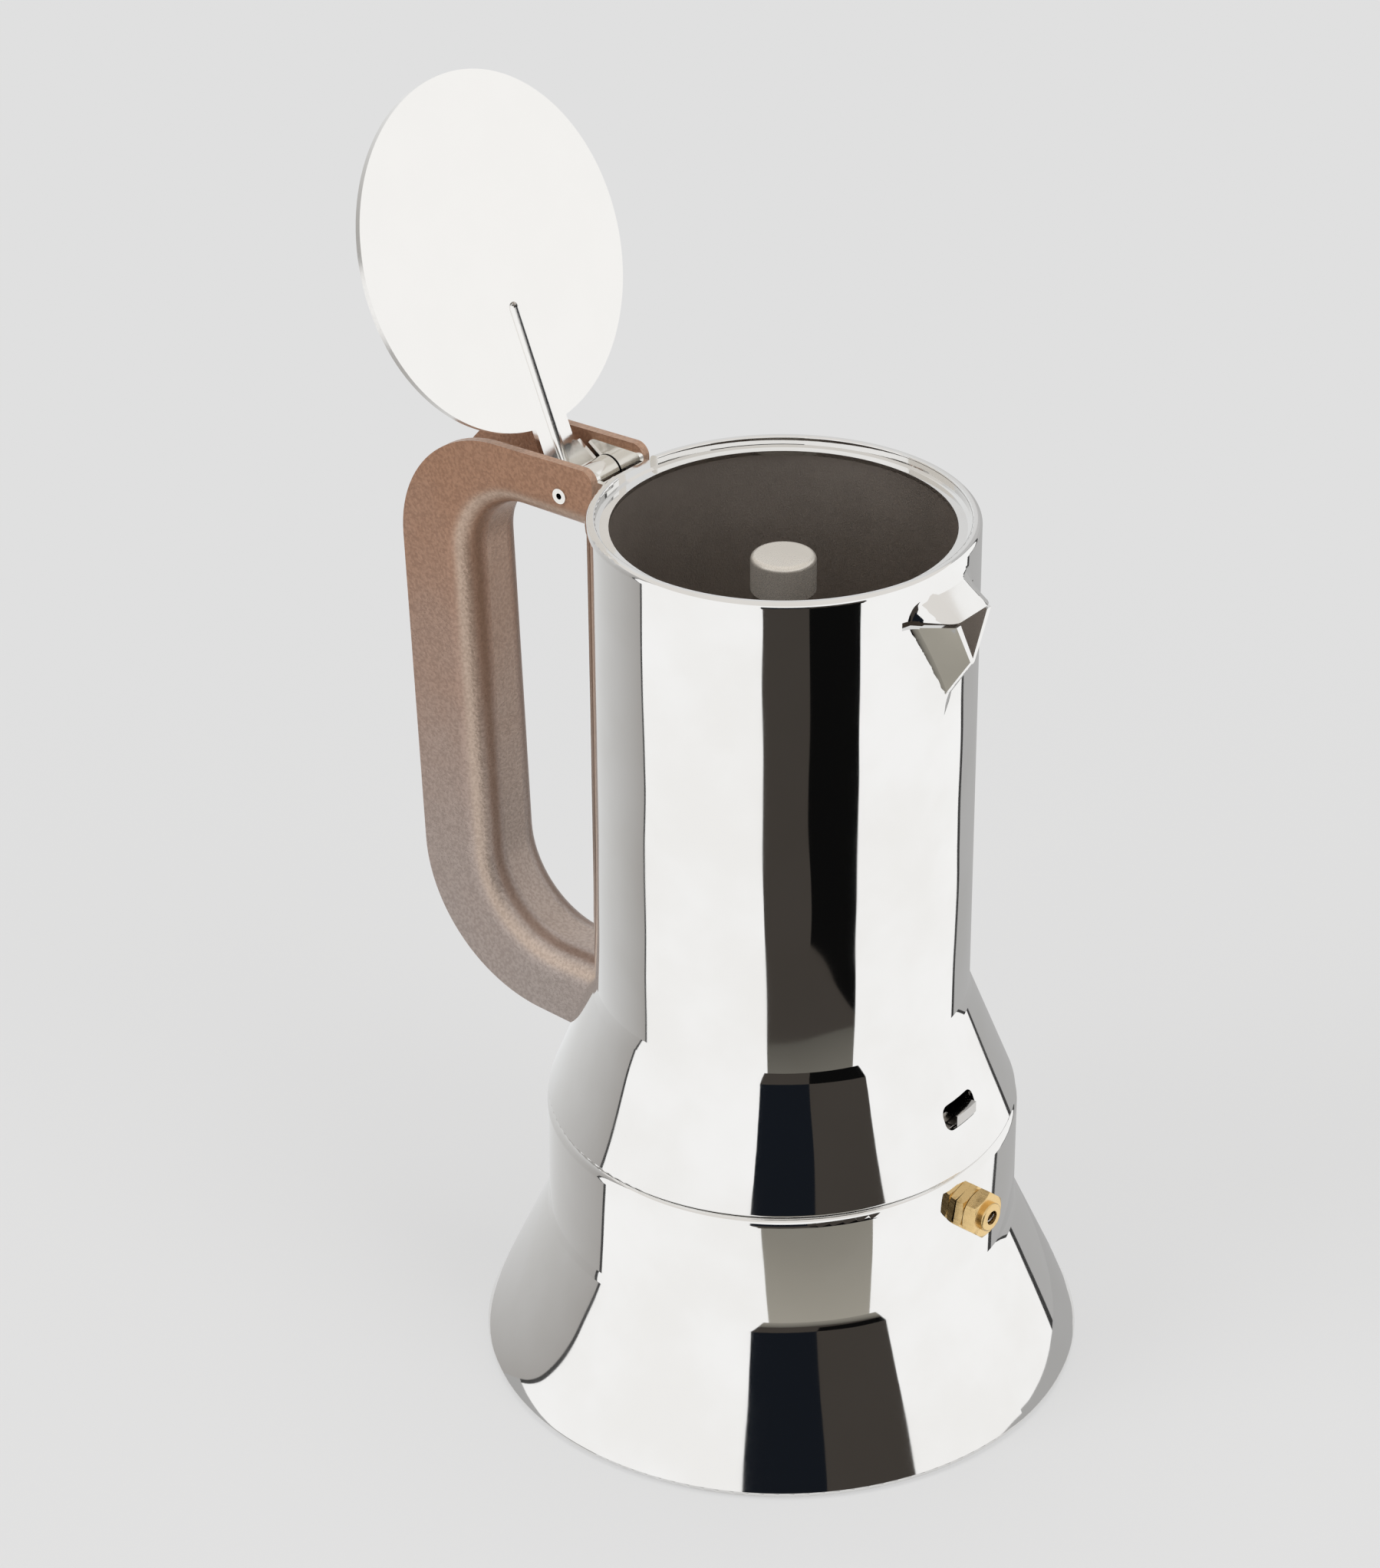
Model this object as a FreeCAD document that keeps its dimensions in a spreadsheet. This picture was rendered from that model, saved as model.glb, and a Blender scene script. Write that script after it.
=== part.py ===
import FreeCAD
import Part
import math
import os
import re

import Sketcher
from FreeCAD import Placement, Rotation, Vector

# Stovetop moka pot in polished steel: a flared boiler with a brass safety valve, a coffee funnel,
# a tall collector with a pressed spout, a channel handle and a lid that hinges in the handle.
# The origin is the middle of the base on the table, +Z is up and +X points along the spout.

# Driving sizes in millimetres and degrees: name, value, meaning.
SIZES = (
    ("base_radius", 68.0, "foot of the boiler"),
    ("flare_spread", 15.5, "foot of the boiler outside its straight wall"),
    ("flare_height", 35.0, "top of the flared foot"),
    ("waist_height", 28.0, "straight wall from the flare to the seam"),
    ("boiler_wall", 1.2, "sheet of the boiler"),
    ("foot_lift", 0.4, "edge of the foot above the table"),
    ("foot_round", 0.9, "edge of the foot"),
    ("flare_blend", 6.0, "blend between flare and waist"),
    ("shoulder_round", 2.0, "shoulder under the seam"),
    ("foot_width", 8.0, "ring of the foot round the base disc"),
    ("disc_thickness", 4.0, "heat spreading base disc"),
    ("disc_fit", 0.05, "play round the base disc"),
    ("shoulder_width", 13.5, "shoulder between the straight wall and the neck"),
    ("neck_height", 16.0, "neck above the seam"),
    ("bead_proud", 2.0, "rolled bead on the neck"),
    ("bead_height", 4.4, "rolled bead on the neck"),
    ("bead_round", 0.9, "rolled bead on the neck"),
    ("neck_flange", 3.0, "flange of the neck under the shoulder"),
    ("valve_drop", 9.4, "axis of the safety valve below the seam"),
    ("valve_bearing", -2.56, "safety valve from the spout's plane"),
    ("valve_flats", 9.6, "across flats of both valve hexagons"),
    ("valve_turn", 17.6, "hexagon corner above the horizontal"),
    ("valve_chamfer", 30.0, "chamfer of the hexagon corners"),
    ("valve_flange", 2.1, "thickness of the inner hexagon"),
    ("valve_groove", 0.15, "gap between the hexagons"),
    ("valve_cap_length", 3.15, "thickness of the outer hexagon"),
    ("valve_boss_radius", 3.3, "round boss on the outer hexagon"),
    ("valve_boss_length", 1.25, "round boss on the outer hexagon"),
    ("valve_boss_round", 0.5, "edge of the boss"),
    ("valve_bore", 2.05, "bore radius of the valve"),
    ("valve_lip", 1.65, "radius of the mouth that holds the spring in"),
    ("valve_lip_depth", 0.4, "lip at the mouth of the bore"),
    ("valve_stem_radius", 3.6, "threaded stem through the wall"),
    ("valve_stem_length", 8.0, "stem from the outside of the wall inwards"),
    ("valve_seat_radius", 1.2, "hole that the plunger closes"),
    ("valve_seat_depth", 2.0, "metal round that hole"),
    ("valve_spigot_radius", 3.0, "spigot inside the outer hexagon"),
    ("valve_spigot_length", 1.2, "spigot beyond the inner hexagon"),
    ("valve_fit", 0.05, "thread and bore play"),
    ("plunger_fit", 0.08, "play of the plunger in its bore"),
    ("plunger_gap", 0.1, "plunger above its seat"),
    ("plunger_head", 0.9, "thickness of the plunger head"),
    ("plunger_rod_radius", 0.9, "rod inside the spring"),
    ("plunger_rod_length", 6.0, "rod inside the spring"),
    ("spring_wire", 0.55, "wire diameter of the valve spring"),
    ("spring_radius", 1.55, "wire centre of the valve spring"),
    ("spring_turns", 5.0, "turns of the valve spring"),
    ("washer_radius", 6.4, "sealing washer inside the wall"),
    ("washer_thickness", 1.0, "sealing washer inside the wall"),
    ("nut_flats", 11.0, "across flats of the inside nut"),
    ("nut_thickness", 2.6, "inside nut"),
    ("funnel_play", 0.6, "play of the funnel in the neck"),
    ("funnel_wall", 0.8, "sheet of the funnel"),
    ("funnel_gap", 0.3, "flange of the funnel above the neck"),
    ("flange_proud", 1.0, "funnel flange outside the neck"),
    ("cup_depth", 22.0, "coffee cup of the funnel"),
    ("cup_drop", 7.0, "slope from the cup to the tube"),
    ("tube_radius", 5.0, "tube of the funnel"),
    ("tube_end", 10.0, "end of the tube above the table"),
    ("screen_thickness", 0.6, "screen in the cup"),
    ("screen_fit", 0.2, "play round the screen"),
    ("screen_hole", 0.9, "radius of the holes in the screen"),
    ("seam_gap", 0.4, "gap at the seam"),
    ("skirt_inset", 0.2, "lower edge of the collector inside the boiler's wall"),
    ("skirt_taper", 11.1, "tower inside the lower edge of the skirt"),
    ("skirt_height", 28.1, "conical skirt of the collector"),
    ("skirt_round", 0.5, "lower edge of the skirt"),
    ("skirt_blend", 8.0, "blend between skirt and tower"),
    ("tower_height", 112.5, "straight wall of the collector"),
    ("tower_wall", 1.0, "sheet of the collector"),
    ("rim_round", 1.2, "outer edge of the rim"),
    ("rim_edge", 0.4, "inner edge of the rim"),
    ("rim_width", 2.1, "rim round the lid's recess"),
    ("seat_depth", 1.9, "recess for the lid"),
    ("seat_lip", 1.2, "thickness of the ledge under the lid"),
    ("ledge_width", 2.8, "ledge under the lid"),
    ("crease_width", 0.9, "crease of the ledge beside the rim"),
    ("crease_depth", 0.25, "crease of the ledge beside the rim"),
    ("notch_play", 0.1, "gap in the rim for the lid arm, wider than the bracket inside"),
    ("spout_proud", 7.0, "mouth of the spout outside the tower"),
    ("spout_width", 12.2, "upper edge of the spout mouth"),
    ("spout_drop", 8.9, "upper edge of the spout mouth below the rim"),
    ("roof_edge", 8.2, "lower edge of the spout roof below the rim"),
    ("spout_depth", 11.6, "height of the spout mouth"),
    ("slit_width", 22.8, "slit that the spout is pressed from"),
    ("slit_height", 1.5, "open slit beside the spout"),
    ("keel_drop", 36.0, "lower end of the spout keel below the rim"),
    ("roof_drop", 2.5, "upper end of the spout roof below the rim"),
    ("roof_width", 9.0, "upper end of the spout roof"),
    ("spout_sunk", 2.7, "inner section of the spout inside the tower's wall"),
    ("roof_blend", 3.0, "blend between the spout roof and the tower"),
    ("roof_round", 4.0, "shoulders of the spout roof"),
    ("beak_blend", 3.5, "blend between the beak and the tower"),
    ("keel_round", 1.2, "keel of the beak"),
    ("window_width", 11.3, "latch window in the skirt"),
    ("window_middle", 0.85, "latch window beside the spout's plane"),
    ("window_low", 9.0, "lower edge of the window above the skirt edge"),
    ("window_height", 5.4, "latch window in the skirt"),
    ("window_round", 2.0, "corners of the window"),
    ("floor_thickness", 1.0, "floor of the collector"),
    ("floor_drop", 0.5, "underside of the floor below the tower"),
    ("floor_fit", 0.05, "play round welded and pressed pieces"),
    ("gasket_gap", 0.3, "gasket above the funnel flange"),
    ("gasket_thickness", 4.0, "sealing ring"),
    ("gasket_proud", 1.2, "sealing ring outside the neck"),
    ("gasket_width", 7.2, "sealing ring across its section"),
    ("holder_play", 0.3, "holder round the sealing ring"),
    ("holder_step", 4.2, "step of the holder over the sealing ring"),
    ("filter_thickness", 0.8, "perforated filter plate"),
    ("filter_hole", 0.8, "radius of the filter holes"),
    ("column_foot", 7.5, "coffee column at the floor"),
    ("column_top", 6.2, "coffee column at the cap"),
    ("column_bore", 5.2, "coffee column"),
    ("column_flange", 10.0, "flange under the floor"),
    ("outlet_width", 4.0, "coffee outlets under the cap"),
    ("outlet_height", 5.0, "coffee outlets under the cap"),
    ("cap_radius", 6.95, "cap of the column"),
    ("cap_height", 8.0, "cap of the column"),
    ("cap_drop", 9.0, "top of the cap below the rim"),
    ("cap_round", 1.2, "top edge of the cap"),
    ("ring_wire", 1.6, "wire diameter of the lock ring"),
    ("ring_grip", 0.8, "lock ring under the bead"),
    ("ring_gap", 0.3, "lock ring below the bead"),
    ("ring_open", 50.0, "open angle of the lock ring"),
    ("clip_width", 6.0, "clips that carry the lock ring"),
    ("clip_thickness", 1.2, "clips that carry the lock ring"),
    ("clip_clear", 0.35, "clips outside the bead"),
    ("tongue_proud", 0.35, "front of the latch tongue outside the skirt"),
    ("tongue_gap", 0.4, "tongue above the lower edge of the window"),
    ("tongue_height", 2.6, "latch tongue"),
    ("tongue_play", 4.3, "window wider than the tongue"),
    ("tongue_offset", 0.85, "tongue beside the middle of the window"),
    ("stop_lap", 3.7, "stop behind the sheet wider than the window"),
    ("stop_clear", 0.65, "stop off the sheet"),
    ("stop_depth", 2.2, "depth of the stop"),
    ("tongue_nose", 0.8, "nose towards the lock ring"),
    ("tongue_nose_height", 1.2, "nose towards the lock ring"),
    ("guide_thickness", 0.9, "guide of the tongue"),
    ("guide_clear", 0.3, "tongue above its guide"),
    ("guide_side", 0.65, "play beside the stop"),
    ("guide_wall", 1.85, "side walls of the guide"),
    ("guide_margin", 0.6, "guide behind the stop"),
    ("handle_width", 19.5, "channel handle over its walls"),
    ("handle_wall", 2.0, "sheet of the handle"),
    ("handle_bend", 6.5, "bend between web and walls"),
    ("handle_stand", 2.2, "end of the upper arm off the tower"),
    ("handle_depth", 57.7, "back of the handle from the tower at the top"),
    ("handle_low_depth", 53.0, "back of the handle from the tower at the bottom"),
    ("handle_rise", 0.7, "top of the upper arm above the rim"),
    ("handle_top_fall", 1.5, "fall of the upper arm towards the back"),
    ("handle_foot", 0.2, "underside of the lower arm below the skirt edge"),
    ("handle_foot_rise", 3.4, "rise of the lower arm towards the back"),
    ("arm_depth", 14.5, "underside of the upper arm below the rim"),
    ("low_arm_top", 17.6, "top of the lower arm above the skirt edge"),
    ("grip_gap", 38.4, "finger side of the grip from the tower at the top"),
    ("grip_low_gap", 34.5, "finger side of the grip from the tower at the bottom"),
    ("handle_front_round", 3.0, "front corner of the upper arm"),
    ("handle_top_round", 28.0, "upper back corner"),
    ("handle_low_round", 35.0, "lower back corner"),
    ("finger_top_round", 14.0, "upper finger corner"),
    ("finger_low_round", 20.0, "lower finger corner"),
    ("handle_gap", 0.1, "end of the lower arm off the skirt"),
    ("hinge_stand", 11.1, "lid hinge from the tower"),
    ("hinge_drop", 7.0, "lid hinge below the rim"),
    ("pin_radius", 1.4, "hollow hinge pin"),
    ("pin_bore", 0.7, "hollow hinge pin"),
    ("pin_head", 1.75, "flared ends of the pin"),
    ("pin_head_height", 0.35, "flared ends of the pin"),
    ("pin_press", 0.02, "pin in its pressed holes"),
    ("pin_fit", 0.05, "pin in the lid barrel"),
    ("bracket_wall", 1.2, "sheet of the hinge bracket"),
    ("bracket_depth", 16.7, "back of the hinge bracket from the tower"),
    ("bracket_lift", 2.0, "underside of the bracket above the web"),
    ("bracket_drop", 0.7, "top of the bracket cheeks below the rim"),
    ("bracket_front_drop", 2.2, "top of the bracket front below the rim"),
    ("bracket_front", 1.5, "front wall of the bracket"),
    ("bracket_round", 2.2, "back corners of the bracket cheeks"),
    ("bracket_front_round", 1.4, "front corners of the bracket cheeks"),
    ("lid_play", 0.4, "play round the lid disc"),
    ("lid_thickness", 1.2, "lid disc and arm"),
    ("lid_gap", 0.3, "closed lid above its ledge"),
    ("cheek_gap", 0.6, "knuckle flanges off the bracket cheeks"),
    ("lid_tail", 1.5, "end of the arm behind the hinge"),
    ("lid_open", 111.7, "angle of the open lid"),
    ("lid_foot", 3.2, "web between arm and barrel"),
    ("knuckle_wall", 0.9, "knuckle flanges beside the arm"),
    ("knuckle_front", 8.0, "flanges in front of the hinge"),
    ("knuckle_slope", 3.2, "lower end of the sloped front of the flanges"),
    ("knuckle_tip", 0.8, "front of the flanges under the arm"),
    ("knuckle_rise", 1.5, "lower edge of the flanges above the hinge"),
    ("barrel_radius", 3.65, "barrel of the lid"),
    ("barrel_clear", 0.3, "barrel between the cheeks"),
    ("groove_width", 2.9, "stiffening rib, hollow on the inside of the lid"),
    ("rib_height", 0.9, "stiffening rib"),
    ("rib_reach", 11.3, "end of the rib from the axis"),
    ("lug_thickness", 2.5, "lug under the lower arm"),
    ("lug_width", 12.0, "lug under the lower arm"),
    ("lug_length", 11.7, "end of the lug outside the skirt edge"),
    ("screw_stand", 4.7, "handle screw outside the skirt edge"),
    ("screw_radius", 2.0, "handle screw"),
    ("screw_bite", 1.5, "handle screw in the web"),
    ("screw_head_radius", 3.5, "handle screw"),
    ("screw_head_height", 2.4, "handle screw"),
    ("overcut", 1.0, "cuts past a face"),
)

# Levels and radii that follow from the driving sizes.
DERIVED = {
    "seam_level": "flare_height + waist_height",
    "waist_radius": "base_radius - flare_spread",
    "disc_radius": "base_radius - foot_width",
    "neck_radius": "waist_radius - shoulder_width",
    "neck_top": "seam_level + neck_height",
    "bead_level": "neck_top - bead_height",
    "bead_radius": "neck_radius + bead_proud",
    "flare_slope": "(base_radius - waist_radius) / (flare_height - foot_lift)",
    "flare_wall": "boiler_wall * sqrt(1 + flare_slope * flare_slope)",
    "boiler_floor": "disc_thickness + boiler_wall",
    "foot_inside": "base_radius - flare_slope * (boiler_floor - foot_lift) - flare_wall",
    "waist_inside": "waist_radius - boiler_wall",
    "flare_inside": "flare_height - (flare_wall - boiler_wall) / flare_slope",
    "neck_inside": "neck_radius - boiler_wall",
    "valve_cap_start": "waist_radius + valve_flange + valve_groove",
    "valve_cap_end": "valve_cap_start + valve_cap_length",
    "valve_end": "valve_cap_end + valve_boss_length",
    "valve_spigot_end": "waist_radius + valve_flange + valve_spigot_length",
    "valve_start": "waist_radius - valve_stem_length",
    "plunger_seat": "valve_start + valve_seat_depth",
    "plunger_top": "plunger_seat + plunger_gap + plunger_head",
    "valve_corner": "valve_flats / 2 * tan(valve_chamfer)",
    "washer_face": "sqrt(waist_inside * waist_inside - washer_radius * washer_radius)",
    "shoulder_level": "seam_level - boiler_wall",
    "valve_height": "seam_level - valve_drop",
    "flange_level": "neck_top + funnel_gap",
    "flange_top": "flange_level + funnel_wall",
    "funnel_flange": "neck_radius + flange_proud",
    "cup_radius": "neck_inside - funnel_play",
    "cup_inside": "cup_radius - funnel_wall",
    "cup_floor": "flange_top - cup_depth",
    "screen_level": "cup_floor + funnel_wall",
    "gasket_level": "flange_top + gasket_gap",
    "gasket_radius": "neck_radius + gasket_proud",
    "gasket_bore": "gasket_radius - gasket_width",
    "holder_bore": "gasket_radius - holder_step",
    "filter_level": "gasket_level + gasket_thickness",
    "holder_level": "filter_level + filter_thickness",
    "holder_inside": "gasket_radius + holder_play",
    "skirt_radius": "waist_radius - skirt_inset",
    "tower_radius": "skirt_radius - skirt_taper",
    "skirt_level": "seam_level + seam_gap",
    "tower_level": "skirt_level + skirt_height",
    "rim_level": "tower_level + tower_height",
    "seat_level": "rim_level - seat_depth",
    "ledge_level": "seat_level - crease_depth",
    "seat_radius": "tower_radius - rim_width",
    "mouth_radius": "seat_radius - ledge_width",
    "skirt_slope": "(skirt_radius - tower_radius) / skirt_height",
    "skirt_wall": "tower_wall * sqrt(1 + skirt_slope * skirt_slope)",
    "skirt_inside": "skirt_radius - skirt_wall",
    "tower_inside": "tower_radius - tower_wall",
    "tower_inside_level": "tower_level - (skirt_wall - tower_wall) / skirt_slope",
    "spout_top": "rim_level - spout_drop",
    "spout_low": "spout_top - spout_depth",
    "spout_reach": "tower_radius + spout_proud",
    "spout_root": "tower_radius - spout_sunk",
    "roof_level": "rim_level - roof_edge",
    "roof_top": "rim_level - roof_drop",
    "slit_level": "roof_level - slit_height",
    "keel_level": "rim_level - keel_drop",
    "floor_level": "tower_level - floor_drop",
    "floor_top": "floor_level + floor_thickness",
    "cap_top": "rim_level - cap_drop",
    "cap_low": "cap_top - cap_height",
    "column_end": "cap_top - tower_wall",
    "ring_radius": "bead_radius - ring_grip + 0.5 * ring_wire",
    "ring_level": "bead_level - ring_gap - 0.5 * ring_wire",
    "clip_inside": "bead_radius + clip_clear",
    "clip_level": "ring_level - sqrt(ring_wire * ring_wire / 4 - clip_clear * clip_clear)",
    "tongue_low": "window_low + tongue_gap",
    "tongue_level": "skirt_level + tongue_low",
    "tongue_top": "tongue_level + tongue_height",
    "tongue_width": "window_width - tongue_play",
    "tongue_radius": "skirt_radius - skirt_slope * tongue_low + tongue_proud",
    "tongue_bearing": "asin((window_middle + tongue_offset) / tongue_radius)",
    "tongue_stop": "skirt_inside - skirt_slope * (tongue_low + tongue_height) - stop_clear",
    "tongue_back": "tongue_stop - stop_depth",
    "stop_width": "window_width + stop_lap",
    "guide_slot": "stop_width + 2 * guide_side",
    "guide_width": "guide_slot + 2 * guide_wall",
    "guide_back": "tongue_back - guide_margin",
    "guide_top": "tongue_level - guide_clear",
    "handle_inner": "0.5 * handle_width - handle_wall",
    "handle_front": "tower_radius + handle_stand",
    "handle_reach": "tower_radius + handle_depth",
    "handle_low_reach": "tower_radius + handle_low_depth",
    "grip_top": "tower_radius + grip_gap",
    "grip_low": "tower_radius + grip_low_gap",
    "handle_top": "rim_level + handle_rise",
    "handle_base": "skirt_level - handle_foot",
    "arm_under": "rim_level - arm_depth",
    "low_arm_level": "skirt_level + low_arm_top",
    "hinge_reach": "tower_radius + hinge_stand",
    "hinge_level": "rim_level - hinge_drop",
    "cheek_inside": "handle_inner - bracket_wall",
    "notch_width": "2 * cheek_inside + notch_play",
    "lid_arm_width": "2 * (cheek_inside - knuckle_wall - cheek_gap)",
    "bracket_back": "tower_radius + bracket_depth",
    "bracket_low": "arm_under + handle_wall + bracket_lift",
    "bracket_top": "rim_level - bracket_drop",
    "lid_radius": "seat_radius - lid_play",
    "lid_level": "seat_level + lid_gap",
    "lid_top": "lid_level + lid_thickness",
    "groove_radius": "groove_width * groove_width / (8 * rib_height) + rib_height / 2",
    "rib_axis": "lid_level + rib_height - groove_radius",
    "rib_end": "0 - rib_reach - groove_width / 2",
    "barrel_length": "2 * (cheek_inside - barrel_clear)",
    "lug_level": "low_arm_level - handle_wall - lug_thickness",
    "lug_reach": "skirt_radius + lug_length",
    "screw_reach": "skirt_radius + screw_stand",
}

WORD = re.compile(r"[a-z][a-z_]*")

doc = FreeCAD.newDocument("moka_pot")
sheet = doc.addObject("Spreadsheet::Sheet", "Sizes")
for row, (alias, size, meaning) in enumerate(SIZES, start=1):
    sheet.set(f"A{row}", meaning)
    sheet.set(f"B{row}", str(size))
    sheet.setAlias(f"B{row}", alias)
doc.recompute()
ALIASES = {alias for alias, size, meaning in SIZES}


def bound(formula):
    """The formula as an expression on the sheet's cells, with derived names written out."""

    def cell(match):
        word = match.group()
        if word in ALIASES:
            return f"Sizes.{word}"
        if word in DERIVED:
            return f"({bound(DERIVED[word])})"
        return word

    return WORD.sub(cell, formula)


def value(formula):
    """The formula's present value."""
    return float(sheet.evalExpression(bound(formula)))


def new_body(label):
    return doc.addObject("PartDesign::Body", label)


def new_sketch(body, name, plane, level="0"):
    """A sketch on one of the body's own planes, raised along the plane's normal."""
    sketch = body.newObject("Sketcher::SketchObject", name)
    support = [feature for feature in body.Origin.OriginFeatures if feature.Role == plane][0]
    sketch.AttachmentSupport = [(support, "")]
    sketch.MapMode = "FlatFace"
    if level != "0":
        sketch.setExpression("AttachmentOffset.Base.z", bound(level))
    return sketch


def place_point(sketch, element, point, across, along):
    """Hold one point of a sketch element at two sheet formulas."""
    for kind, formula in (("DistanceX", across), ("DistanceY", along)):
        fixed = Sketcher.Constraint(kind, -1, 1, element, point, value(formula))
        index = sketch.addConstraint(fixed)
        if formula != "0":
            sketch.setExpression(f"Constraints[{index}]", bound(formula))


def outline(body, name, plane, corners, level="0"):
    """A closed outline of straight sides with its corners at sheet formulas."""
    sketch = new_sketch(body, name, plane, level)
    places = [Vector(value(across), value(along), 0) for across, along in corners]
    sides = len(places)
    for side in range(sides):
        sketch.addGeometry(Part.LineSegment(places[side], places[(side + 1) % sides]))
    for side in range(sides):
        sketch.addConstraint(Sketcher.Constraint("Coincident", side, 2, (side + 1) % sides, 1))
    for side, (across, along) in enumerate(corners):
        place_point(sketch, side, 1, across, along)
    return sketch


def box_outline(body, name, plane, across, along, level="0"):
    """A rectangle between two formulas each way."""
    left, right = across
    low, high = along
    return outline(body, name, plane, [(left, low), (right, low), (right, high), (left, high)], level)


def rounded_outline(body, name, plane, middle, width, low, high, radius):
    """A rectangle with round corners, even about a middle line."""
    sketch = new_sketch(body, name, plane)
    half = f"({width}) / 2"
    corners = ((1, -1), (1, 1), (-1, 1), (-1, -1))
    ends = []
    for across, along in corners:
        edge = high if along > 0 else low
        upright = (f"{middle} + {across} * {half}", f"{edge} - {along} * {radius}")
        level = (f"{middle} + {across} * ({half} - {radius})", edge)
        ends.append((upright, level) if across == along else (level, upright))
    for corner, (across, along) in enumerate(corners):
        start, end = [Vector(value(first), value(second), 0) for first, second in ends[corner]]
        slant = Vector(across, along, 0)
        edge = Vector(value(f"{middle} + {across} * {half}"), value(high if along > 0 else low), 0)
        crown = edge + slant * (value(radius) * (math.sqrt(0.5) - 1))
        sketch.addGeometry(Part.Arc(start, crown, end))
    for corner in range(4):
        start = Vector(*[value(formula) for formula in ends[corner][1]], 0)
        end = Vector(*[value(formula) for formula in ends[(corner + 1) % 4][0]], 0)
        sketch.addGeometry(Part.LineSegment(start, end))
        place_point(sketch, corner + 4, 1, *ends[corner][1])
        place_point(sketch, corner + 4, 2, *ends[(corner + 1) % 4][0])
    for corner in range(4):
        sketch.addConstraint(Sketcher.Constraint("Coincident", corner, 2, corner + 4, 1))
        sketch.addConstraint(Sketcher.Constraint("Coincident", corner, 1, (corner + 3) % 4 + 4, 2))
        index = sketch.addConstraint(Sketcher.Constraint("Radius", corner, value(radius)))
        sketch.setExpression(f"Constraints[{index}]", bound(radius))
    return sketch


def circles(body, name, plane, radius, centres, level="0"):
    """Equal circles with their centres at pairs of sheet formulas."""
    sketch = new_sketch(body, name, plane, level)
    for element, (across, along) in enumerate(centres):
        centre = Vector(value(across), value(along), 0)
        sketch.addGeometry(Part.Circle(centre, Vector(0, 0, 1), value(radius)))
        index = sketch.addConstraint(Sketcher.Constraint("Radius", element, value(radius)))
        sketch.setExpression(f"Constraints[{index}]", bound(radius))
        place_point(sketch, element, 3, across, along)
    return sketch


def hexagon(body, name, flats, level):
    """A regular hexagon across the X axis, turned as both valve hexagons are."""
    corners = []
    for corner in range(6):
        angle = f"(valve_turn + {60 * corner})"
        reach = f"({flats}) / sqrt(3)"
        corners.append((f"{reach} * cos({angle})", f"{reach} * sin({angle})"))
    return outline(body, name, "YZ_Plane", corners, level)


def revolve(body, name, sketch, cut=False, angle=None, axis="V_Axis"):
    """Turn a profile round a sketch axis, the whole way or evenly about the sketch's plane."""
    feature = body.newObject("PartDesign::Groove" if cut else "PartDesign::Revolution", name)
    feature.Profile = sketch
    feature.ReferenceAxis = (sketch, [axis])
    feature.Angle = 360.0
    if angle:
        feature.Midplane = True
        feature.setExpression("Angle", bound(angle))
    doc.recompute()
    return feature


def pad(body, name, sketch, length, symmetric=False, backwards=False):
    feature = body.newObject("PartDesign::Pad", name)
    feature.Profile = sketch
    feature.setExpression("Length", bound(length))
    feature.SideType = "Symmetric" if symmetric else "One side"
    feature.Reversed = backwards
    doc.recompute()
    return feature


def pocket(body, name, sketch, length, symmetric=False, backwards=False):
    """Cut a profile into the body, and make sure that something was cut away."""
    before = body.Shape.Volume
    feature = body.newObject("PartDesign::Pocket", name)
    feature.Profile = sketch
    feature.setExpression("Length", bound(length))
    feature.SideType = "Symmetric" if symmetric else "One side"
    feature.Reversed = backwards
    doc.recompute()
    if body.Shape.Volume >= before:
        raise RuntimeError(f"{body.Label}: {name} cuts nothing")
    return feature


def loft(body, name, sections, cut=False):
    feature = body.newObject("PartDesign::SubtractiveLoft" if cut else "PartDesign::AdditiveLoft", name)
    feature.Profile = sections[0]
    feature.Sections = sections[1:]
    feature.Ruled = True
    doc.recompute()
    return feature


def ball(body, name, radius, centre, cut=False):
    """Add or cut a ball."""
    feature = body.newObject("PartDesign::SubtractiveSphere" if cut else "PartDesign::AdditiveSphere", name)
    feature.setExpression("Radius", bound(radius))
    for axis, formula in zip("xyz", centre):
        feature.setExpression(f"Placement.Base.{axis}", bound(formula))
    doc.recompute()
    return feature


def round_edges(body, name, base, radius, chosen):
    """Round the edges that the test chooses."""
    names = [f"Edge{number}" for number, edge in enumerate(base.Shape.Edges, start=1) if chosen(edge)]
    if not names:
        raise RuntimeError(f"{body.Label}: {name} finds no edge")
    feature = body.newObject("PartDesign::Fillet", name)
    feature.Base = (base, names)
    feature.setExpression("Radius", bound(radius))
    doc.recompute()
    return feature


def ring_at(radius, level):
    """Chooses the circular edges about the pot's axis at a radius and a level."""
    wanted_radius = value(radius)
    wanted_level = value(level)

    def chosen(edge):
        if edge.Degenerated or edge.Curve.TypeId != "Part::GeomCircle":
            return False
        close = abs(edge.Curve.Radius - wanted_radius) < 1e-4
        return close and abs(edge.Curve.Center.z - wanted_level) < 1e-4

    return chosen


def corner_at(first, second, axis):
    """Chooses the straight edges along an axis through a point of the plane across it."""
    wanted = (value(first), value(second))

    def flat(point):
        return {"x": (point.y, point.z), "y": (point.x, point.z), "z": (point.x, point.y)}[axis]

    def chosen(edge):
        ends = [flat(vertex.Point) for vertex in edge.Vertexes]
        return len(ends) == 2 and all(math.dist(end, wanted) < 1e-4 for end in ends)

    return chosen


def boolean(kind, label, base, tool):
    result = doc.addObject(kind, label)
    result.Base = base
    result.Tool = tool
    doc.recompute()
    return result


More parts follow.
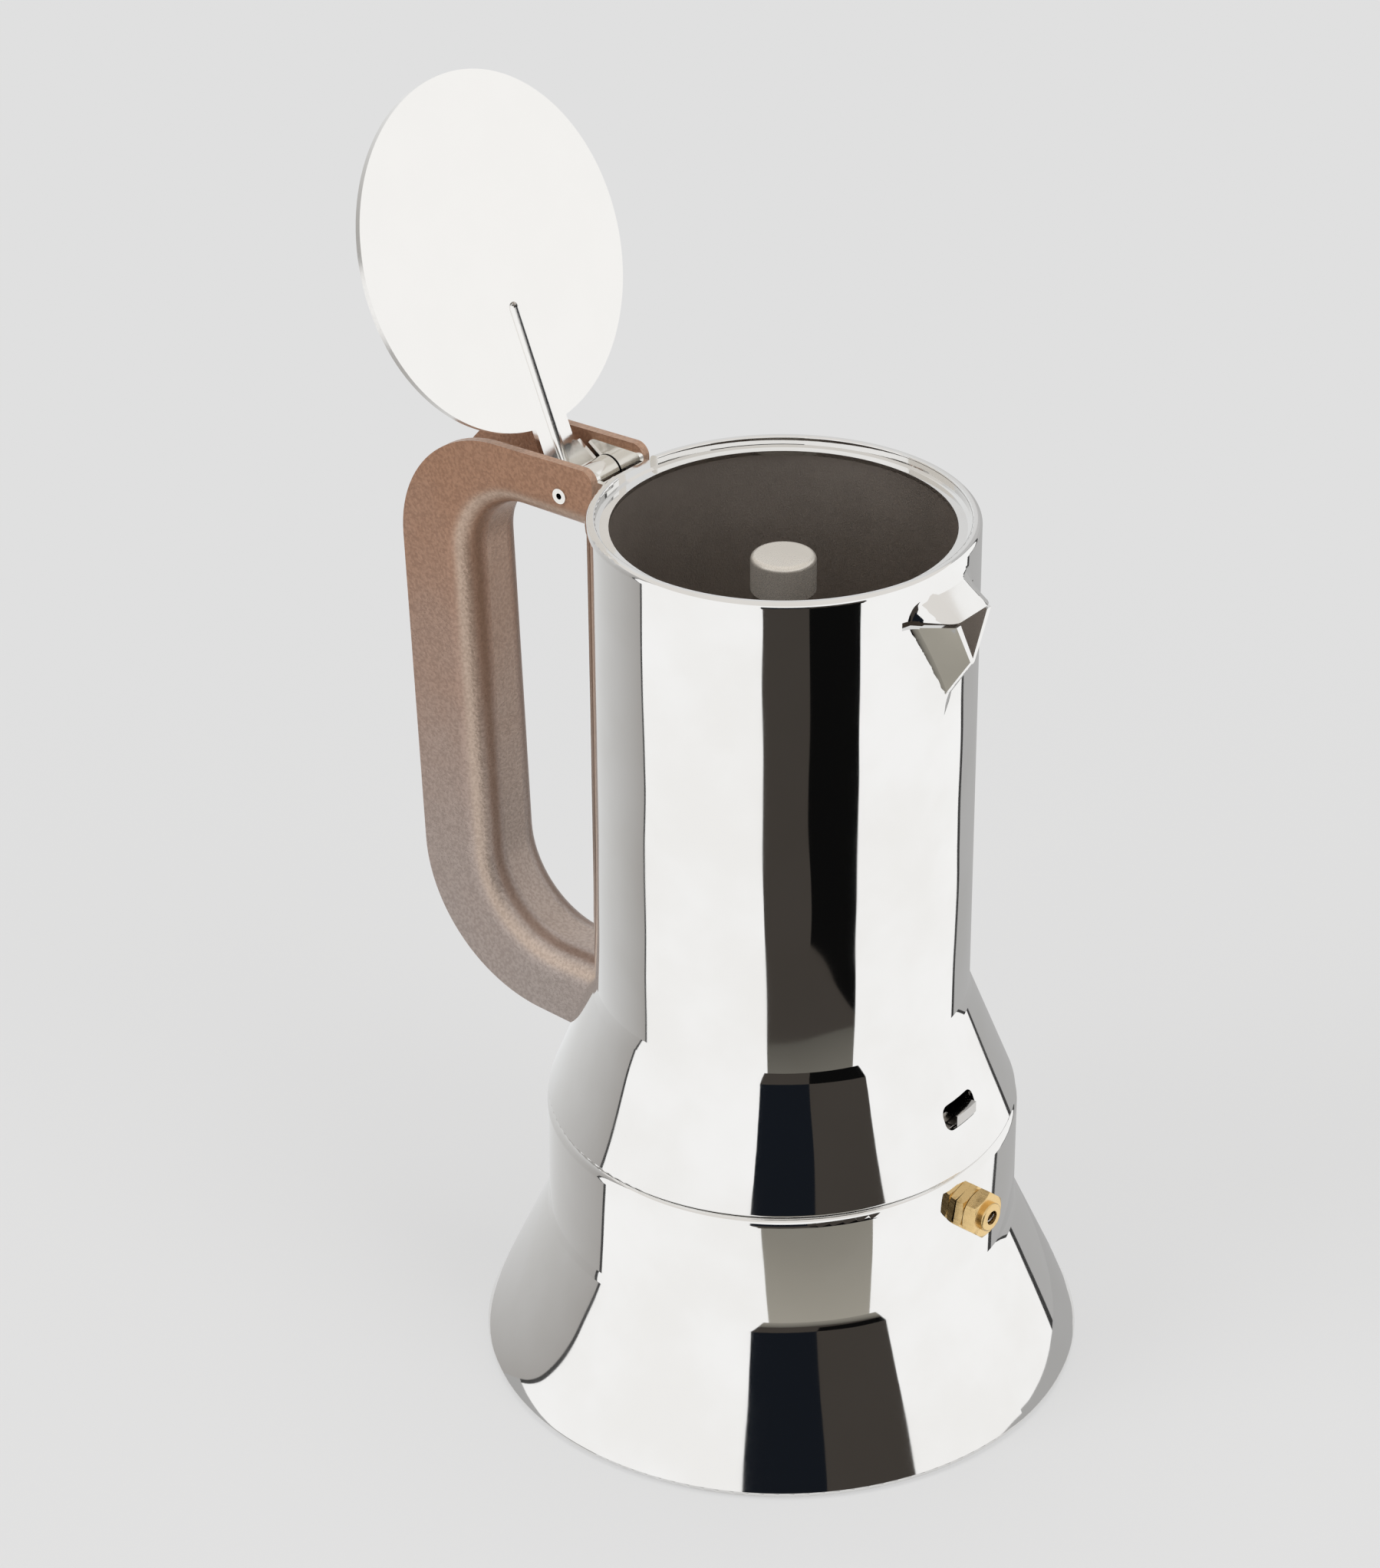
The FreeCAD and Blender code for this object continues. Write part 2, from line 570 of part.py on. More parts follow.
def common(label, first, second):
    result = doc.addObject("Part::MultiCommon", label)
    result.Shapes = [first, second]
    doc.recompute()
    return result


def placed(piece, axis, angle, base=("0", "0", "0")):
    """Turn a piece about an axis through the origin and move it, both bound to the sheet."""
    piece.Placement = Placement(Vector(*[value(part) for part in base]), Rotation(axis, value(angle)))
    for name, formula in zip("xyz", base):
        if formula != "0":
            piece.setExpression(f"Placement.Base.{name}", bound(formula))
    piece.setExpression("Placement.Rotation.Angle", bound(angle))
    doc.recompute()
    return piece


def on_valve_axis(piece):
    """Set a piece that is drawn along X on the axis of the safety valve."""
    return placed(piece, Vector(0, 0, 1), "valve_bearing", ("0", "0", "valve_height"))


def perforations(pitch, rings):
    """Hole centres on rings about the axis, six more on each ring."""
    centres = []
    for ring in range(1, rings + 1):
        for hole in range(6 * ring):
            angle = 2 * math.pi * hole / (6 * ring)
            across = ring * math.cos(angle)
            along = ring * math.sin(angle)
            centres.append((f"{across:.6f} * {pitch}", f"{along:.6f} * {pitch}"))
    return centres


def boiler_shell():
    """Deep drawn boiler: recessed bottom, flared foot, straight waist and a shoulder round the neck."""
    body = new_body("boiler_blank")
    recess = "disc_radius + disc_fit"
    profile = outline(body, "boiler_outside", "XZ_Plane", [
        ("0", "disc_thickness"), (recess, "disc_thickness"), (recess, "foot_lift"),
        ("base_radius", "foot_lift"), ("waist_radius", "flare_height"), ("waist_radius", "seam_level"),
        ("0", "seam_level")])
    feature = revolve(body, "boiler_turned", profile)
    for name, radius, ring in (
            ("foot_edge", "foot_round", ("base_radius", "foot_lift")),
            ("flare_valley", "flare_blend", ("waist_radius", "flare_height")),
            ("shoulder_edge", "shoulder_round", ("waist_radius", "seam_level"))):
        feature = round_edges(body, name, feature, radius, ring_at(*ring))
    hole = "neck_radius + disc_fit"
    hollow = outline(body, "boiler_inside", "XZ_Plane", [
        ("0", "boiler_floor"), ("foot_inside", "boiler_floor"), ("waist_inside", "flare_inside"),
        ("waist_inside", "shoulder_level"), (hole, "shoulder_level"), (hole, "seam_level + overcut"),
        ("0", "seam_level + overcut")])
    revolve(body, "boiler_hollow", hollow, cut=True)
    drill = new_body("valve_drill")
    bore = circles(drill, "drill_circle", "YZ_Plane", "valve_stem_radius + valve_fit", [("0", "0")])
    pad(drill, "drill_rod", bore, "base_radius")
    return boolean("Part::Cut", "boiler_shell", body, on_valve_axis(drill))


def boiler_neck():
    """Neck ring with a flange under the shoulder and a rolled bead that the lock ring grips."""
    body = new_body("boiler_neck")
    low = "shoulder_level - boiler_wall"
    wide = "neck_radius + neck_flange"
    profile = outline(body, "neck_profile", "XZ_Plane", [
        ("neck_inside", low), (wide, low), (wide, "shoulder_level"), ("neck_radius", "shoulder_level"),
        ("neck_radius", "bead_level"), ("bead_radius", "bead_level"), ("bead_radius", "neck_top"),
        ("neck_inside", "neck_top")])
    feature = revolve(body, "neck_turned", profile)
    for name, level in (("bead_low_edge", "bead_level"), ("bead_top_edge", "neck_top")):
        feature = round_edges(body, name, feature, "bead_round", ring_at("bead_radius", level))
    return body


def boiler_base():
    """Thick disc that spreads the heat under the boiler."""
    disc = doc.addObject("Part::Cylinder", "boiler_base")
    disc.setExpression("Radius", bound("disc_radius"))
    disc.setExpression("Height", bound("disc_thickness"))
    doc.recompute()
    return disc


def chamfer_corners(body, name, face, inward):
    """Turn the corners of a hexagon down towards one of its faces."""
    way = "-" if inward else "+"
    back = "+" if inward else "-"
    profile = outline(body, f"{name}_profile", "XZ_Plane", [
        (face, "valve_flats / 2"), (f"{face} {back} valve_groove / 2", "valve_flats / 2"),
        (f"{face} {back} valve_groove / 2", "valve_flats"), (f"{face} {way} valve_corner", "valve_flats")])
    return revolve(body, name, profile, cut=True, axis="H_Axis")


def valve_body():
    """Brass body: stem through the wall, inner hexagon, spigot for the cap and a stepped bore."""
    body = new_body("valve_body")
    axis = [("0", "0")]
    face = "waist_radius + valve_flange"
    stem = circles(body, "stem_circle", "YZ_Plane", "valve_stem_radius", axis, "valve_start")
    pad(body, "stem", stem, "valve_stem_length")
    flange = hexagon(body, "flange_hexagon", "valve_flats", "waist_radius")
    pad(body, "flange", flange, "valve_flange")
    chamfer_corners(body, "flange_corners", face, True)
    spigot = circles(body, "spigot_circle", "YZ_Plane", "valve_spigot_radius", axis, face)
    pad(body, "spigot", spigot, "valve_spigot_length")
    bore = circles(body, "bore_circle", "YZ_Plane", "valve_bore", axis, "plunger_seat")
    pocket(body, "bore", bore, "valve_end - plunger_seat", backwards=True)
    seat = circles(body, "seat_circle", "YZ_Plane", "valve_seat_radius", axis, "valve_start - overcut")
    pocket(body, "seat", seat, "valve_end - valve_start", backwards=True)
    return on_valve_axis(body)


def valve_cap():
    """Outer brass hexagon with a raised round boss, whose lip keeps the spring in."""
    body = new_body("valve_cap")
    axis = [("0", "0")]
    head = hexagon(body, "cap_hexagon", "valve_flats", "valve_cap_start")
    pad(body, "cap_head", head, "valve_cap_length")
    chamfer_corners(body, "cap_inner_corners", "valve_cap_start", False)
    chamfer_corners(body, "cap_outer_corners", "valve_cap_end", True)
    boss = circles(body, "boss_circle", "YZ_Plane", "valve_boss_radius", axis, "valve_cap_end")
    feature = pad(body, "boss", boss, "valve_boss_length")
    front = value("valve_end")
    feature = round_edges(body, "boss_edge", feature, "valve_boss_round",
                          lambda edge: all(abs(vertex.X - front) < 1e-4 for vertex in edge.Vertexes))
    socket = circles(body, "socket_circle", "YZ_Plane", "valve_spigot_radius + valve_fit", axis,
                     "valve_cap_start - overcut")
    depth = "valve_spigot_end - valve_cap_start + overcut + valve_fit"
    pocket(body, "socket", socket, depth, backwards=True)
    bore = circles(body, "cap_bore_circle", "YZ_Plane", "valve_bore", axis, "valve_cap_start")
    pocket(body, "cap_bore", bore, "valve_end - valve_cap_start - valve_lip_depth", backwards=True)
    mouth = circles(body, "mouth_circle", "YZ_Plane", "valve_lip", axis, "valve_cap_end")
    pocket(body, "cap_mouth", mouth, "valve_boss_length + overcut", backwards=True)
    return on_valve_axis(body)


def valve_washer():
    """Sealing ring against the inside of the boiler wall."""
    body = new_body("valve_washer")
    axis = [("0", "0")]
    level = "washer_face - washer_thickness"
    disc = circles(body, "washer_circle", "YZ_Plane", "washer_radius", axis, level)
    pad(body, "washer_disc", disc, "washer_thickness")
    hole = circles(body, "washer_hole_circle", "YZ_Plane", "valve_stem_radius + valve_fit", axis, level)
    pocket(body, "washer_hole", hole, "washer_thickness + overcut", backwards=True)
    return on_valve_axis(body)


def valve_nut():
    """Hexagon nut that draws the valve against the wall from inside."""
    body = new_body("valve_nut")
    level = "washer_face - washer_thickness - nut_thickness"
    pad(body, "nut_blank", hexagon(body, "nut_hexagon", "nut_flats", level), "nut_thickness")
    hole = circles(body, "nut_hole_circle", "YZ_Plane", "valve_stem_radius + valve_fit", [("0", "0")], level)
    pocket(body, "nut_hole", hole, "nut_thickness + overcut", backwards=True)
    return on_valve_axis(body)


def valve_plunger():
    """Disc that closes the seat, with a rod inside the spring."""
    body = new_body("valve_plunger")
    axis = [("0", "0")]
    level = "plunger_seat + plunger_gap"
    head = circles(body, "plunger_circle", "YZ_Plane", "valve_bore - plunger_fit", axis, level)
    pad(body, "plunger_disc", head, "plunger_head")
    rod = circles(body, "rod_circle", "YZ_Plane", "plunger_rod_radius", axis, "plunger_top")
    pad(body, "plunger_rod", rod, "plunger_rod_length")
    return on_valve_axis(body)


def arc_between(start, start_way, end, end_way):
    """Two tangent arcs that leave one point along its direction and reach the other along its own."""
    chord = end - start
    turn = 1 - start_way.dot(end_way)
    along = chord.dot(start_way + end_way)
    reach = (math.sqrt(along * along + 2 * turn * chord.dot(chord)) - along) / (2 * turn)
    corners = (start + start_way * reach, end - end_way * reach)
    middle = (corners[0] + corners[1]) * 0.5
    arcs = []
    for first, corner, last in ((start, corners[0], middle), (middle, corners[1], end)):
        base = (first + last) * 0.5
        half = first.distanceToPoint(base)
        height = corner.distanceToPoint(base)
        side = first.distanceToPoint(corner)
        radius = half * side / height
        crown = base + (corner - base) * (radius * (1 - half / side) / height)
        arcs.append(Part.Arc(first, crown, last).toShape())
    return arcs


def valve_spring():
    """Coil spring along the bore, one wire of whole turns built from quarter turns."""
    wire = value("spring_wire")
    radius = value("spring_radius")
    start = value("plunger_top") + value("plunger_gap") + wire / 2
    end = value("valve_end") - value("valve_lip_depth") - value("plunger_gap") - wire / 2
    quarters = 4 * round(value("spring_turns"))
    pitch = 4 * (end - start) / quarters

    def place(quarter):
        angle = quarter * math.pi / 2
        along = start + pitch * quarter / 4
        return Vector(along, radius * math.cos(angle), radius * math.sin(angle))

    def way(quarter):
        angle = quarter * math.pi / 2
        direction = Vector(pitch / (2 * math.pi), -radius * math.sin(angle), radius * math.cos(angle))
        return direction.normalize()

    edges = []
    for quarter in range(quarters):
        edges += arc_between(place(quarter), way(quarter), place(quarter + 1), way(quarter + 1))
    section = Part.Wire([Part.makeCircle(wire / 2, place(0), way(0))])
    coil = doc.addObject("Part::Feature", "valve_spring")
    coil.Shape = Part.Wire(edges).makePipeShell([section], True, False)
    print(f"valve_spring: {quarters // 4} turns, gap between turns {pitch - wire:.2f} mm")
    return on_valve_axis(coil)


def funnel():
    """Coffee cup with a flange that rests on the neck, a sloped floor and a long tube."""
    body = new_body("funnel")
    profile = outline(body, "funnel_profile", "XZ_Plane", [
        ("tube_radius", "tube_end"), ("tube_radius", "cup_floor - cup_drop"), ("cup_radius", "cup_floor"),
        ("cup_radius", "flange_level"), ("funnel_flange", "flange_level"), ("funnel_flange", "flange_top"),
        ("cup_inside", "flange_top"), ("cup_inside", "screen_level"),
        ("tube_radius - funnel_wall", "screen_level - cup_drop"), ("tube_radius - funnel_wall", "tube_end")])
    revolve(body, "funnel_turned", profile)
    return body


def funnel_screen():
    """Perforated plate on the floor of the cup."""
    body = new_body("funnel_screen")
    edge = "cup_inside - screen_fit"
    disc = circles(body, "screen_circle", "XY_Plane", edge, [("0", "0")], "screen_level")
    pad(body, "screen_disc", disc, "screen_thickness")
    centres = perforations("cup_inside / 4", 3)
    below = "screen_level - overcut"
    holes = circles(body, "screen_holes_circles", "XY_Plane", "screen_hole", centres, below)
    pocket(body, "screen_holes", holes, "screen_thickness + 2 * overcut", backwards=True)
    return body


def beyond(first, second):
    """The first formula carried a tenth of the way past, away from the second."""
    return f"1.1 * ({first}) - 0.1 * ({second})"


def collector_shell():
    """Drawn collector: conical skirt, straight tower, rim with a creased ledge, spout and latch window."""
    body = new_body("collector_shell")
    profile = outline(body, "collector_outside", "XZ_Plane", [
        ("0", "skirt_level"), ("0 - skirt_radius", "skirt_level"), ("0 - tower_radius", "tower_level"),
        ("0 - tower_radius", "rim_level"), ("0", "rim_level")])
    feature = revolve(body, "collector_turned", profile)
    for name, radius, ring in (
            ("skirt_edge", "skirt_round", ("skirt_radius", "skirt_level")),
            ("skirt_valley", "skirt_blend", ("tower_radius", "tower_level")),
            ("rim_edge_outside", "rim_round", ("tower_radius", "rim_level"))):
        feature = round_edges(body, name, feature, radius, ring_at(*ring))
    spout_blank(body)
    under = "seat_level - seat_lip"
    hollow = outline(body, "collector_inside", "XZ_Plane", skirt_hollow_corners() + [
        ("tower_inside", under), ("mouth_radius", under), ("mouth_radius", "ledge_level"),
        ("seat_radius - crease_width", "ledge_level"), ("seat_radius", "seat_level"),
        ("seat_radius", "rim_level + overcut"), ("0", "rim_level + overcut")])
    feature = revolve(body, "collector_hollow", hollow, cut=True)
    round_edges(body, "rim_edge_inside", feature, "rim_edge", ring_at("seat_radius", "rim_level"))
    spout_channel(body)
    across = ("0 - tower_radius - overcut", "0 - mouth_radius")
    along = ("0 - notch_width / 2", "notch_width / 2")
    notch = box_outline(body, "notch_outline", "XY_Plane", across, along, "rim_level + overcut")
    pocket(body, "rim_notch", notch, "seat_depth + overcut")
    low = "skirt_level + window_low"
    window = rounded_outline(body, "window_outline", "YZ_Plane", "window_middle", "window_width", low,
                             f"{low} + window_height", "window_round")
    pocket(body, "window", window, "skirt_radius", backwards=True)
    return body


def skirt_hollow_corners():
    """The hollow of the skirt from the axis up to the foot of the tower."""
    return [("0", "skirt_level - overcut"),
            ("skirt_inside + skirt_slope * overcut", "skirt_level - overcut"),
            ("tower_inside", "tower_inside_level")]


def skirt_hollow(name):
    """Solid of the space inside the skirt, to fit pieces against the sheet."""
    body = new_body(name)
    corners = skirt_hollow_corners() + [("0", "tower_inside_level")]
    revolve(body, f"{name}_turned", outline(body, f"{name}_profile", "XZ_Plane", corners))
    return body


def spout_blank(body):
    """Keel shaped beak with a sloped roof, pressed out of the wall below the rim."""
    mouth = [("0 - spout_width / 2", "spout_top"), ("spout_width / 2", "spout_top"), ("0", "spout_low")]
    root = [("0 - slit_width / 2", "slit_level"), ("slit_width / 2", "slit_level"), ("0", "keel_level")]
    loft(body, "beak", [outline(body, "beak_mouth", "YZ_Plane", mouth, "spout_reach"),
                        outline(body, "beak_root", "YZ_Plane", root, "spout_root")])
    low = [("spout_root", "0 - slit_width / 2"), ("spout_reach", "0 - spout_width / 2"),
           ("spout_reach", "spout_width / 2"), ("spout_root", "slit_width / 2")]
    high = [("spout_root", "0 - slit_width / 2"), ("tower_inside", "0 - roof_width / 2"),
            ("tower_inside", "roof_width / 2"), ("spout_root", "slit_width / 2")]
    feature = loft(body, "roof", [outline(body, "roof_low", "XY_Plane", low, "roof_level"),
                                  outline(body, "roof_high", "XY_Plane", high, "roof_top")])
    for name, radius, low, high, on_wall in (
            ("beak_foot", "beak_blend", "keel_level", "spout_low", True),
            ("keel_edge", "keel_round", "keel_level", "spout_low", False),
            ("roof_shoulders", "roof_round", "roof_level", "rim_level", False),
            ("roof_foot", "roof_blend", "roof_level", "rim_level", True)):
        feature = round_edges(body, name, feature, radius, spout_edges(low, high, on_wall))


def spout_edges(low, high, on_wall):
    """Chooses the spout's rising edges between two levels: on the tower's wall, or out to the mouth."""
    bottom = value(low) - 0.1
    top = value(high)
    root = value("spout_root")
    wall = value("tower_radius")
    mouth = value("spout_reach")

    def chosen(edge):
        box = edge.BoundBox
        if box.XMin < root or not bottom < box.ZMin < top or box.ZMax < bottom + 0.5:
            return False
        if on_wall:
            return all(abs(math.hypot(vertex.X, vertex.Y) - wall) < 0.02 for vertex in edge.Vertexes)
        return box.XMax > mouth - 0.02 and box.XLength > 0.5 * (mouth - wall)

    return chosen


def spout_channel(body):
    """Hollow of the beak and roof, and the open slit between them."""
    inset = "1.1 * tower_wall"
    rise = "2.2 * tower_wall"
    mouth_half = f"spout_width / 2 - {inset}"
    root_half = f"slit_width / 2 - {inset}"
    mouth_low = f"spout_low + {rise}"
    root_low = f"keel_level + {rise}"
    front_half = beyond(mouth_half, root_half)
    back_half = beyond(root_half, mouth_half)
    front = [(f"0 - ({front_half})", "roof_level"), (front_half, "roof_level"),
             ("0", beyond(mouth_low, root_low))]
    back = [(f"0 - ({back_half})", "roof_level"), (back_half, "roof_level"),
            ("0", beyond(root_low, mouth_low))]
    loft(body, "beak_hollow", [
        outline(body, "beak_hollow_front", "YZ_Plane", front, beyond("spout_reach", "spout_root")),
        outline(body, "beak_hollow_back", "YZ_Plane", back, beyond("spout_root", "spout_reach"))], cut=True)
    behind = "spout_root - 2 * tower_wall"
    ahead = "spout_reach - 1.2 * tower_wall"
    inner = "tower_inside - tower_wall"
    high_half = f"roof_width / 2 - {inset}"
    low = [(behind, f"0 - ({root_half})"), (ahead, f"0 - ({mouth_half})"), (ahead, mouth_half),
           (behind, root_half)]
    high = [(behind, f"0 - ({root_half})"), (inner, f"0 - ({high_half})"), (inner, high_half),
            (behind, root_half)]
    loft(body, "roof_hollow", [
        outline(body, "roof_hollow_low", "XY_Plane", low, "roof_level"),
        outline(body, "roof_hollow_high", "XY_Plane", high, "roof_top - tower_wall")], cut=True)
    half = "slit_width / 2 + 0.3 * beak_blend"
    slit = box_outline(body, "slit_outline", "XY_Plane", (behind, "tower_radius + 0.4 * tower_wall"),
                       (f"0 - ({half})", half), "roof_level + 0.2 * tower_wall")
    pocket(body, "slit", slit, "slit_height + 0.3 * tower_wall")


def collector_floor():
    """Floor of the tower with the holder for gasket and filter below it."""
    body = new_body("collector_floor")
    shelf = "holder_level + floor_thickness"
    holder = "holder_inside + floor_thickness"
    chamber = "holder_bore + floor_thickness"
    profile = outline(body, "floor_profile", "XZ_Plane", [
        ("column_foot + floor_fit", "floor_top"), ("column_foot + floor_fit", "floor_level"),
        ("holder_bore", "floor_level"), ("holder_bore", "holder_level"), ("holder_inside", "holder_level"),
        ("holder_inside", "gasket_level"), (holder, "gasket_level"), (holder, shelf), (chamber, shelf),
        (chamber, "floor_level"), ("tower_inside - floor_fit", "floor_level"),
        ("tower_inside - floor_fit", "floor_top")])
    revolve(body, "floor_turned", profile)
    return body


def coffee_column():
    """Tapered tube with a flange under the floor and two outlets below the cap."""
    body = new_body("coffee_column")
    flange = "floor_level - floor_thickness"
    profile = outline(body, "column_profile", "XZ_Plane", [
        ("column_bore", flange), ("column_flange", flange), ("column_flange", "floor_level"),
        ("column_foot", "floor_level"), ("column_foot", "floor_top"),
        ("column_top", "cap_low - 2 * outlet_height"), ("column_top", "column_end"),
        ("column_bore", "column_end")])
    revolve(body, "column_turned", profile)
    across = ("0 - outlet_width / 2", "outlet_width / 2")
    along = ("cap_low - 1.5 * outlet_height", "cap_low - 0.5 * outlet_height")
    outlets = box_outline(body, "outlet_outline", "XZ_Plane", across, along)
    pocket(body, "outlets", outlets, "4 * column_top", symmetric=True)
    return body


def column_cap():
    """Cup pressed over the top of the column."""
    body = new_body("column_cap")
    inside = "column_top + floor_fit"
    profile = outline(body, "cap_profile", "XZ_Plane", [
        ("0", "column_end"), (inside, "column_end"), (inside, "cap_low"), ("cap_radius", "cap_low"),
        ("cap_radius", "cap_top"), ("0", "cap_top")])
    feature = revolve(body, "cap_turned", profile)
    round_edges(body, "cap_edge", feature, "cap_round", ring_at("cap_radius", "cap_top"))
    return body


def gasket():
    """Silicone ring that seals the collector on the funnel."""
    body = new_body("gasket")
    profile = box_outline(body, "gasket_profile", "XZ_Plane", ("gasket_bore", "gasket_radius"),
                          ("gasket_level", "filter_level"))
    revolve(body, "gasket_turned", profile)
    return body


def filter_plate():
    """Perforated plate between the gasket and its holder."""
    body = new_body("filter_plate")
    disc = circles(body, "filter_circle", "XY_Plane", "gasket_radius", [("0", "0")], "filter_level")
    pad(body, "filter_disc", disc, "filter_thickness")
    centres = perforations("gasket_bore / 4", 3)
    below = "filter_level - overcut"
    holes = circles(body, "filter_holes_circles", "XY_Plane", "filter_hole", centres, below)
    pocket(body, "filter_holes", holes, "filter_thickness + 2 * overcut", backwards=True)
    return body


def lock_ring():
    """Open ring of spring wire that snaps under the bead of the neck."""
    ring = doc.addObject("Part::Torus", "lock_ring")
    ring.setExpression("Radius1", bound("ring_radius"))
    ring.setExpression("Radius2", bound("ring_wire / 2"))
    ring.setExpression("Angle3", bound("360 - ring_open"))
    return placed(ring, Vector(0, 0, 1), "180 + ring_open / 2", ("0", "0", "ring_level"))


def ring_clips():
    """Four flat clips inside the skirt that carry the lock ring."""
    low = "clip_level - clip_thickness"
    shelf = new_body("clip_shelf")
    profile = outline(shelf, "clip_profile", "XZ_Plane", [
        ("clip_inside", low), (skirt_inside_at(low), low), (skirt_inside_at("clip_level"), "clip_level"),
        ("clip_inside", "clip_level")])
    revolve(shelf, "clip_turned", profile)
    bars = new_body("clip_bars")
    for name, bearing in (("first_bar", "60"), ("second_bar", "120")):
        corners = []
        for along, across in ((-1, -1), (1, -1), (1, 1), (-1, 1)):
            reach = f"{along} * skirt_radius"
            side = f"{across} * clip_width / 2"
            corners.append((f"{reach} * cos({bearing}) - {side} * sin({bearing})",
                            f"{reach} * sin({bearing}) + {side} * cos({bearing})"))
        pad(bars, name, outline(bars, f"{name}_outline", "XY_Plane", corners, low), "clip_thickness")
    return common("ring_clips", shelf, bars)


def skirt_inside_at(level):
    """Radius of the skirt's inner face at a level."""
    return f"skirt_inside - skirt_slope * ({level} - skirt_level)"


def sector(body, name, radii, levels, width, cut=False):
    """A block between two radii and two levels, of a width where the stop of the tongue is."""
    profile = box_outline(body, f"{name}_profile", "XZ_Plane", radii, levels)
    return revolve(body, name, profile, cut=cut, angle=f"2 * asin({width} / 2 / tongue_stop)")


def on_latch_axis(piece):
    """Turn a piece that is drawn even about the spout's plane to the latch."""
    return placed(piece, Vector(0, 0, 1), "tongue_bearing")


def latch_tongue():
    """Release tongue: curved front in the window, a stop behind the sheet and a nose to the lock ring."""
    body = new_body("latch_tongue")
    levels = ("tongue_level", "tongue_top")
    nose = ("tongue_level", "tongue_level + tongue_nose_height")
    sector(body, "tongue_front", ("tongue_back", "tongue_radius"), levels, "tongue_width")
    sector(body, "tongue_flange", ("tongue_back", "tongue_stop"), levels, "stop_width")
    sector(body, "tongue_tip", ("tongue_back - tongue_nose", "tongue_stop"), nose, "tongue_width")
    return on_latch_axis(body)


def latch_guide():
    """Tray welded inside the skirt that the tongue slides on."""
    tray = new_body("guide_tray")
    levels = ("guide_top - guide_thickness", "tongue_top")
    above = ("guide_top", "tongue_top + overcut")
    sector(tray, "guide_block", ("guide_back", "skirt_radius"), levels, "guide_width")
    past = ("guide_back - overcut", "skirt_radius + overcut")
    sector(tray, "guide_slot_cut", past, above, "guide_slot", cut=True)
    return common("latch_guide", on_latch_axis(tray), skirt_hollow("guide_hollow"))


def handle():
    """Channel handle: web on the finger side, two walls open to the back, rounded bends."""
    blank = new_body("handle_blank")
    back = "0 - handle_reach"
    profile = outline(blank, "handle_side", "XZ_Plane", [
        ("0 - handle_front", "handle_top"), (back, "handle_top - handle_top_fall"),
        ("0 - handle_low_reach", "handle_base + handle_foot_rise"), ("0 - tower_radius", "handle_base"),
        ("0 - tower_radius", "low_arm_level"), ("0 - grip_low", "low_arm_level"),
        ("0 - grip_top", "arm_under"), ("0 - handle_front", "arm_under")])
    feature = pad(blank, "handle_block", profile, "handle_width", symmetric=True)
    for name, radius, corner in (
            ("front_corner", "handle_front_round", ("0 - handle_front", "handle_top")),
            ("top_corner", "handle_top_round", (back, "handle_top - handle_top_fall")),
            ("low_corner", "handle_low_round", ("0 - handle_low_reach", "handle_base + handle_foot_rise")),
            ("finger_low_corner", "finger_low_round", ("0 - grip_low", "low_arm_level")),
            ("finger_top_corner", "finger_top_round", ("0 - grip_top", "arm_under"))):
        feature = round_edges(blank, name, feature, radius, corner_at(*corner, "y"))
    round_edges(blank, "bends", feature, "handle_bend", finger_edge("handle_width / 2", "0"))
    below = "handle_base - overcut"
    trim = outline(blank, "trim_profile", "XZ_Plane", [
        ("0", below), ("skirt_radius + handle_gap + skirt_slope * (handle_foot + overcut)", below),
        ("tower_radius + handle_gap", "tower_level"), ("0", "tower_level")])
    revolve(blank, "trim", trim, cut=True)
    hinge = [("0 - hinge_reach", "hinge_level")]
    pin = circles(blank, "pin_circle", "XZ_Plane", "pin_radius + pin_press", hinge)
    pocket(blank, "pin_hole", pin, "2 * handle_width", symmetric=True)
    screw = circles(blank, "screw_circle", "XY_Plane", "screw_radius + pin_press",
                    [("0 - screw_reach", "0")], below)
    depth = "low_arm_level - handle_wall + screw_bite - handle_base + overcut"
    pocket(blank, "screw_hole", screw, depth, backwards=True)
    return boolean("Part::Cut", "handle", blank, handle_channel("handle_channel"))


def finger_edge(half_width, wall):
    """Chooses the long edges of the web, on either side of the handle, a wall outside the finger side."""
    side = value(half_width)
    inset = value(wall)
    front = -value("handle_front") - 1e-3
    low = value("low_arm_level")
    high = value("arm_under")
    reach = value("grip_top")

    def chosen(edge):
        points = [vertex.Point for vertex in edge.Vertexes] + [edge.valueAt(sum(edge.ParameterRange) / 2)]
        flat = all(abs(abs(point.y) - side) < 1e-4 for point in points)
        level = all(low - inset - 1e-3 < point.z < high + inset + 1e-3 for point in points)
        finger = all(point.x > -reach - inset - 1e-3 for point in points)
        return flat and level and finger and any(point.x < front for point in points)

    return chosen


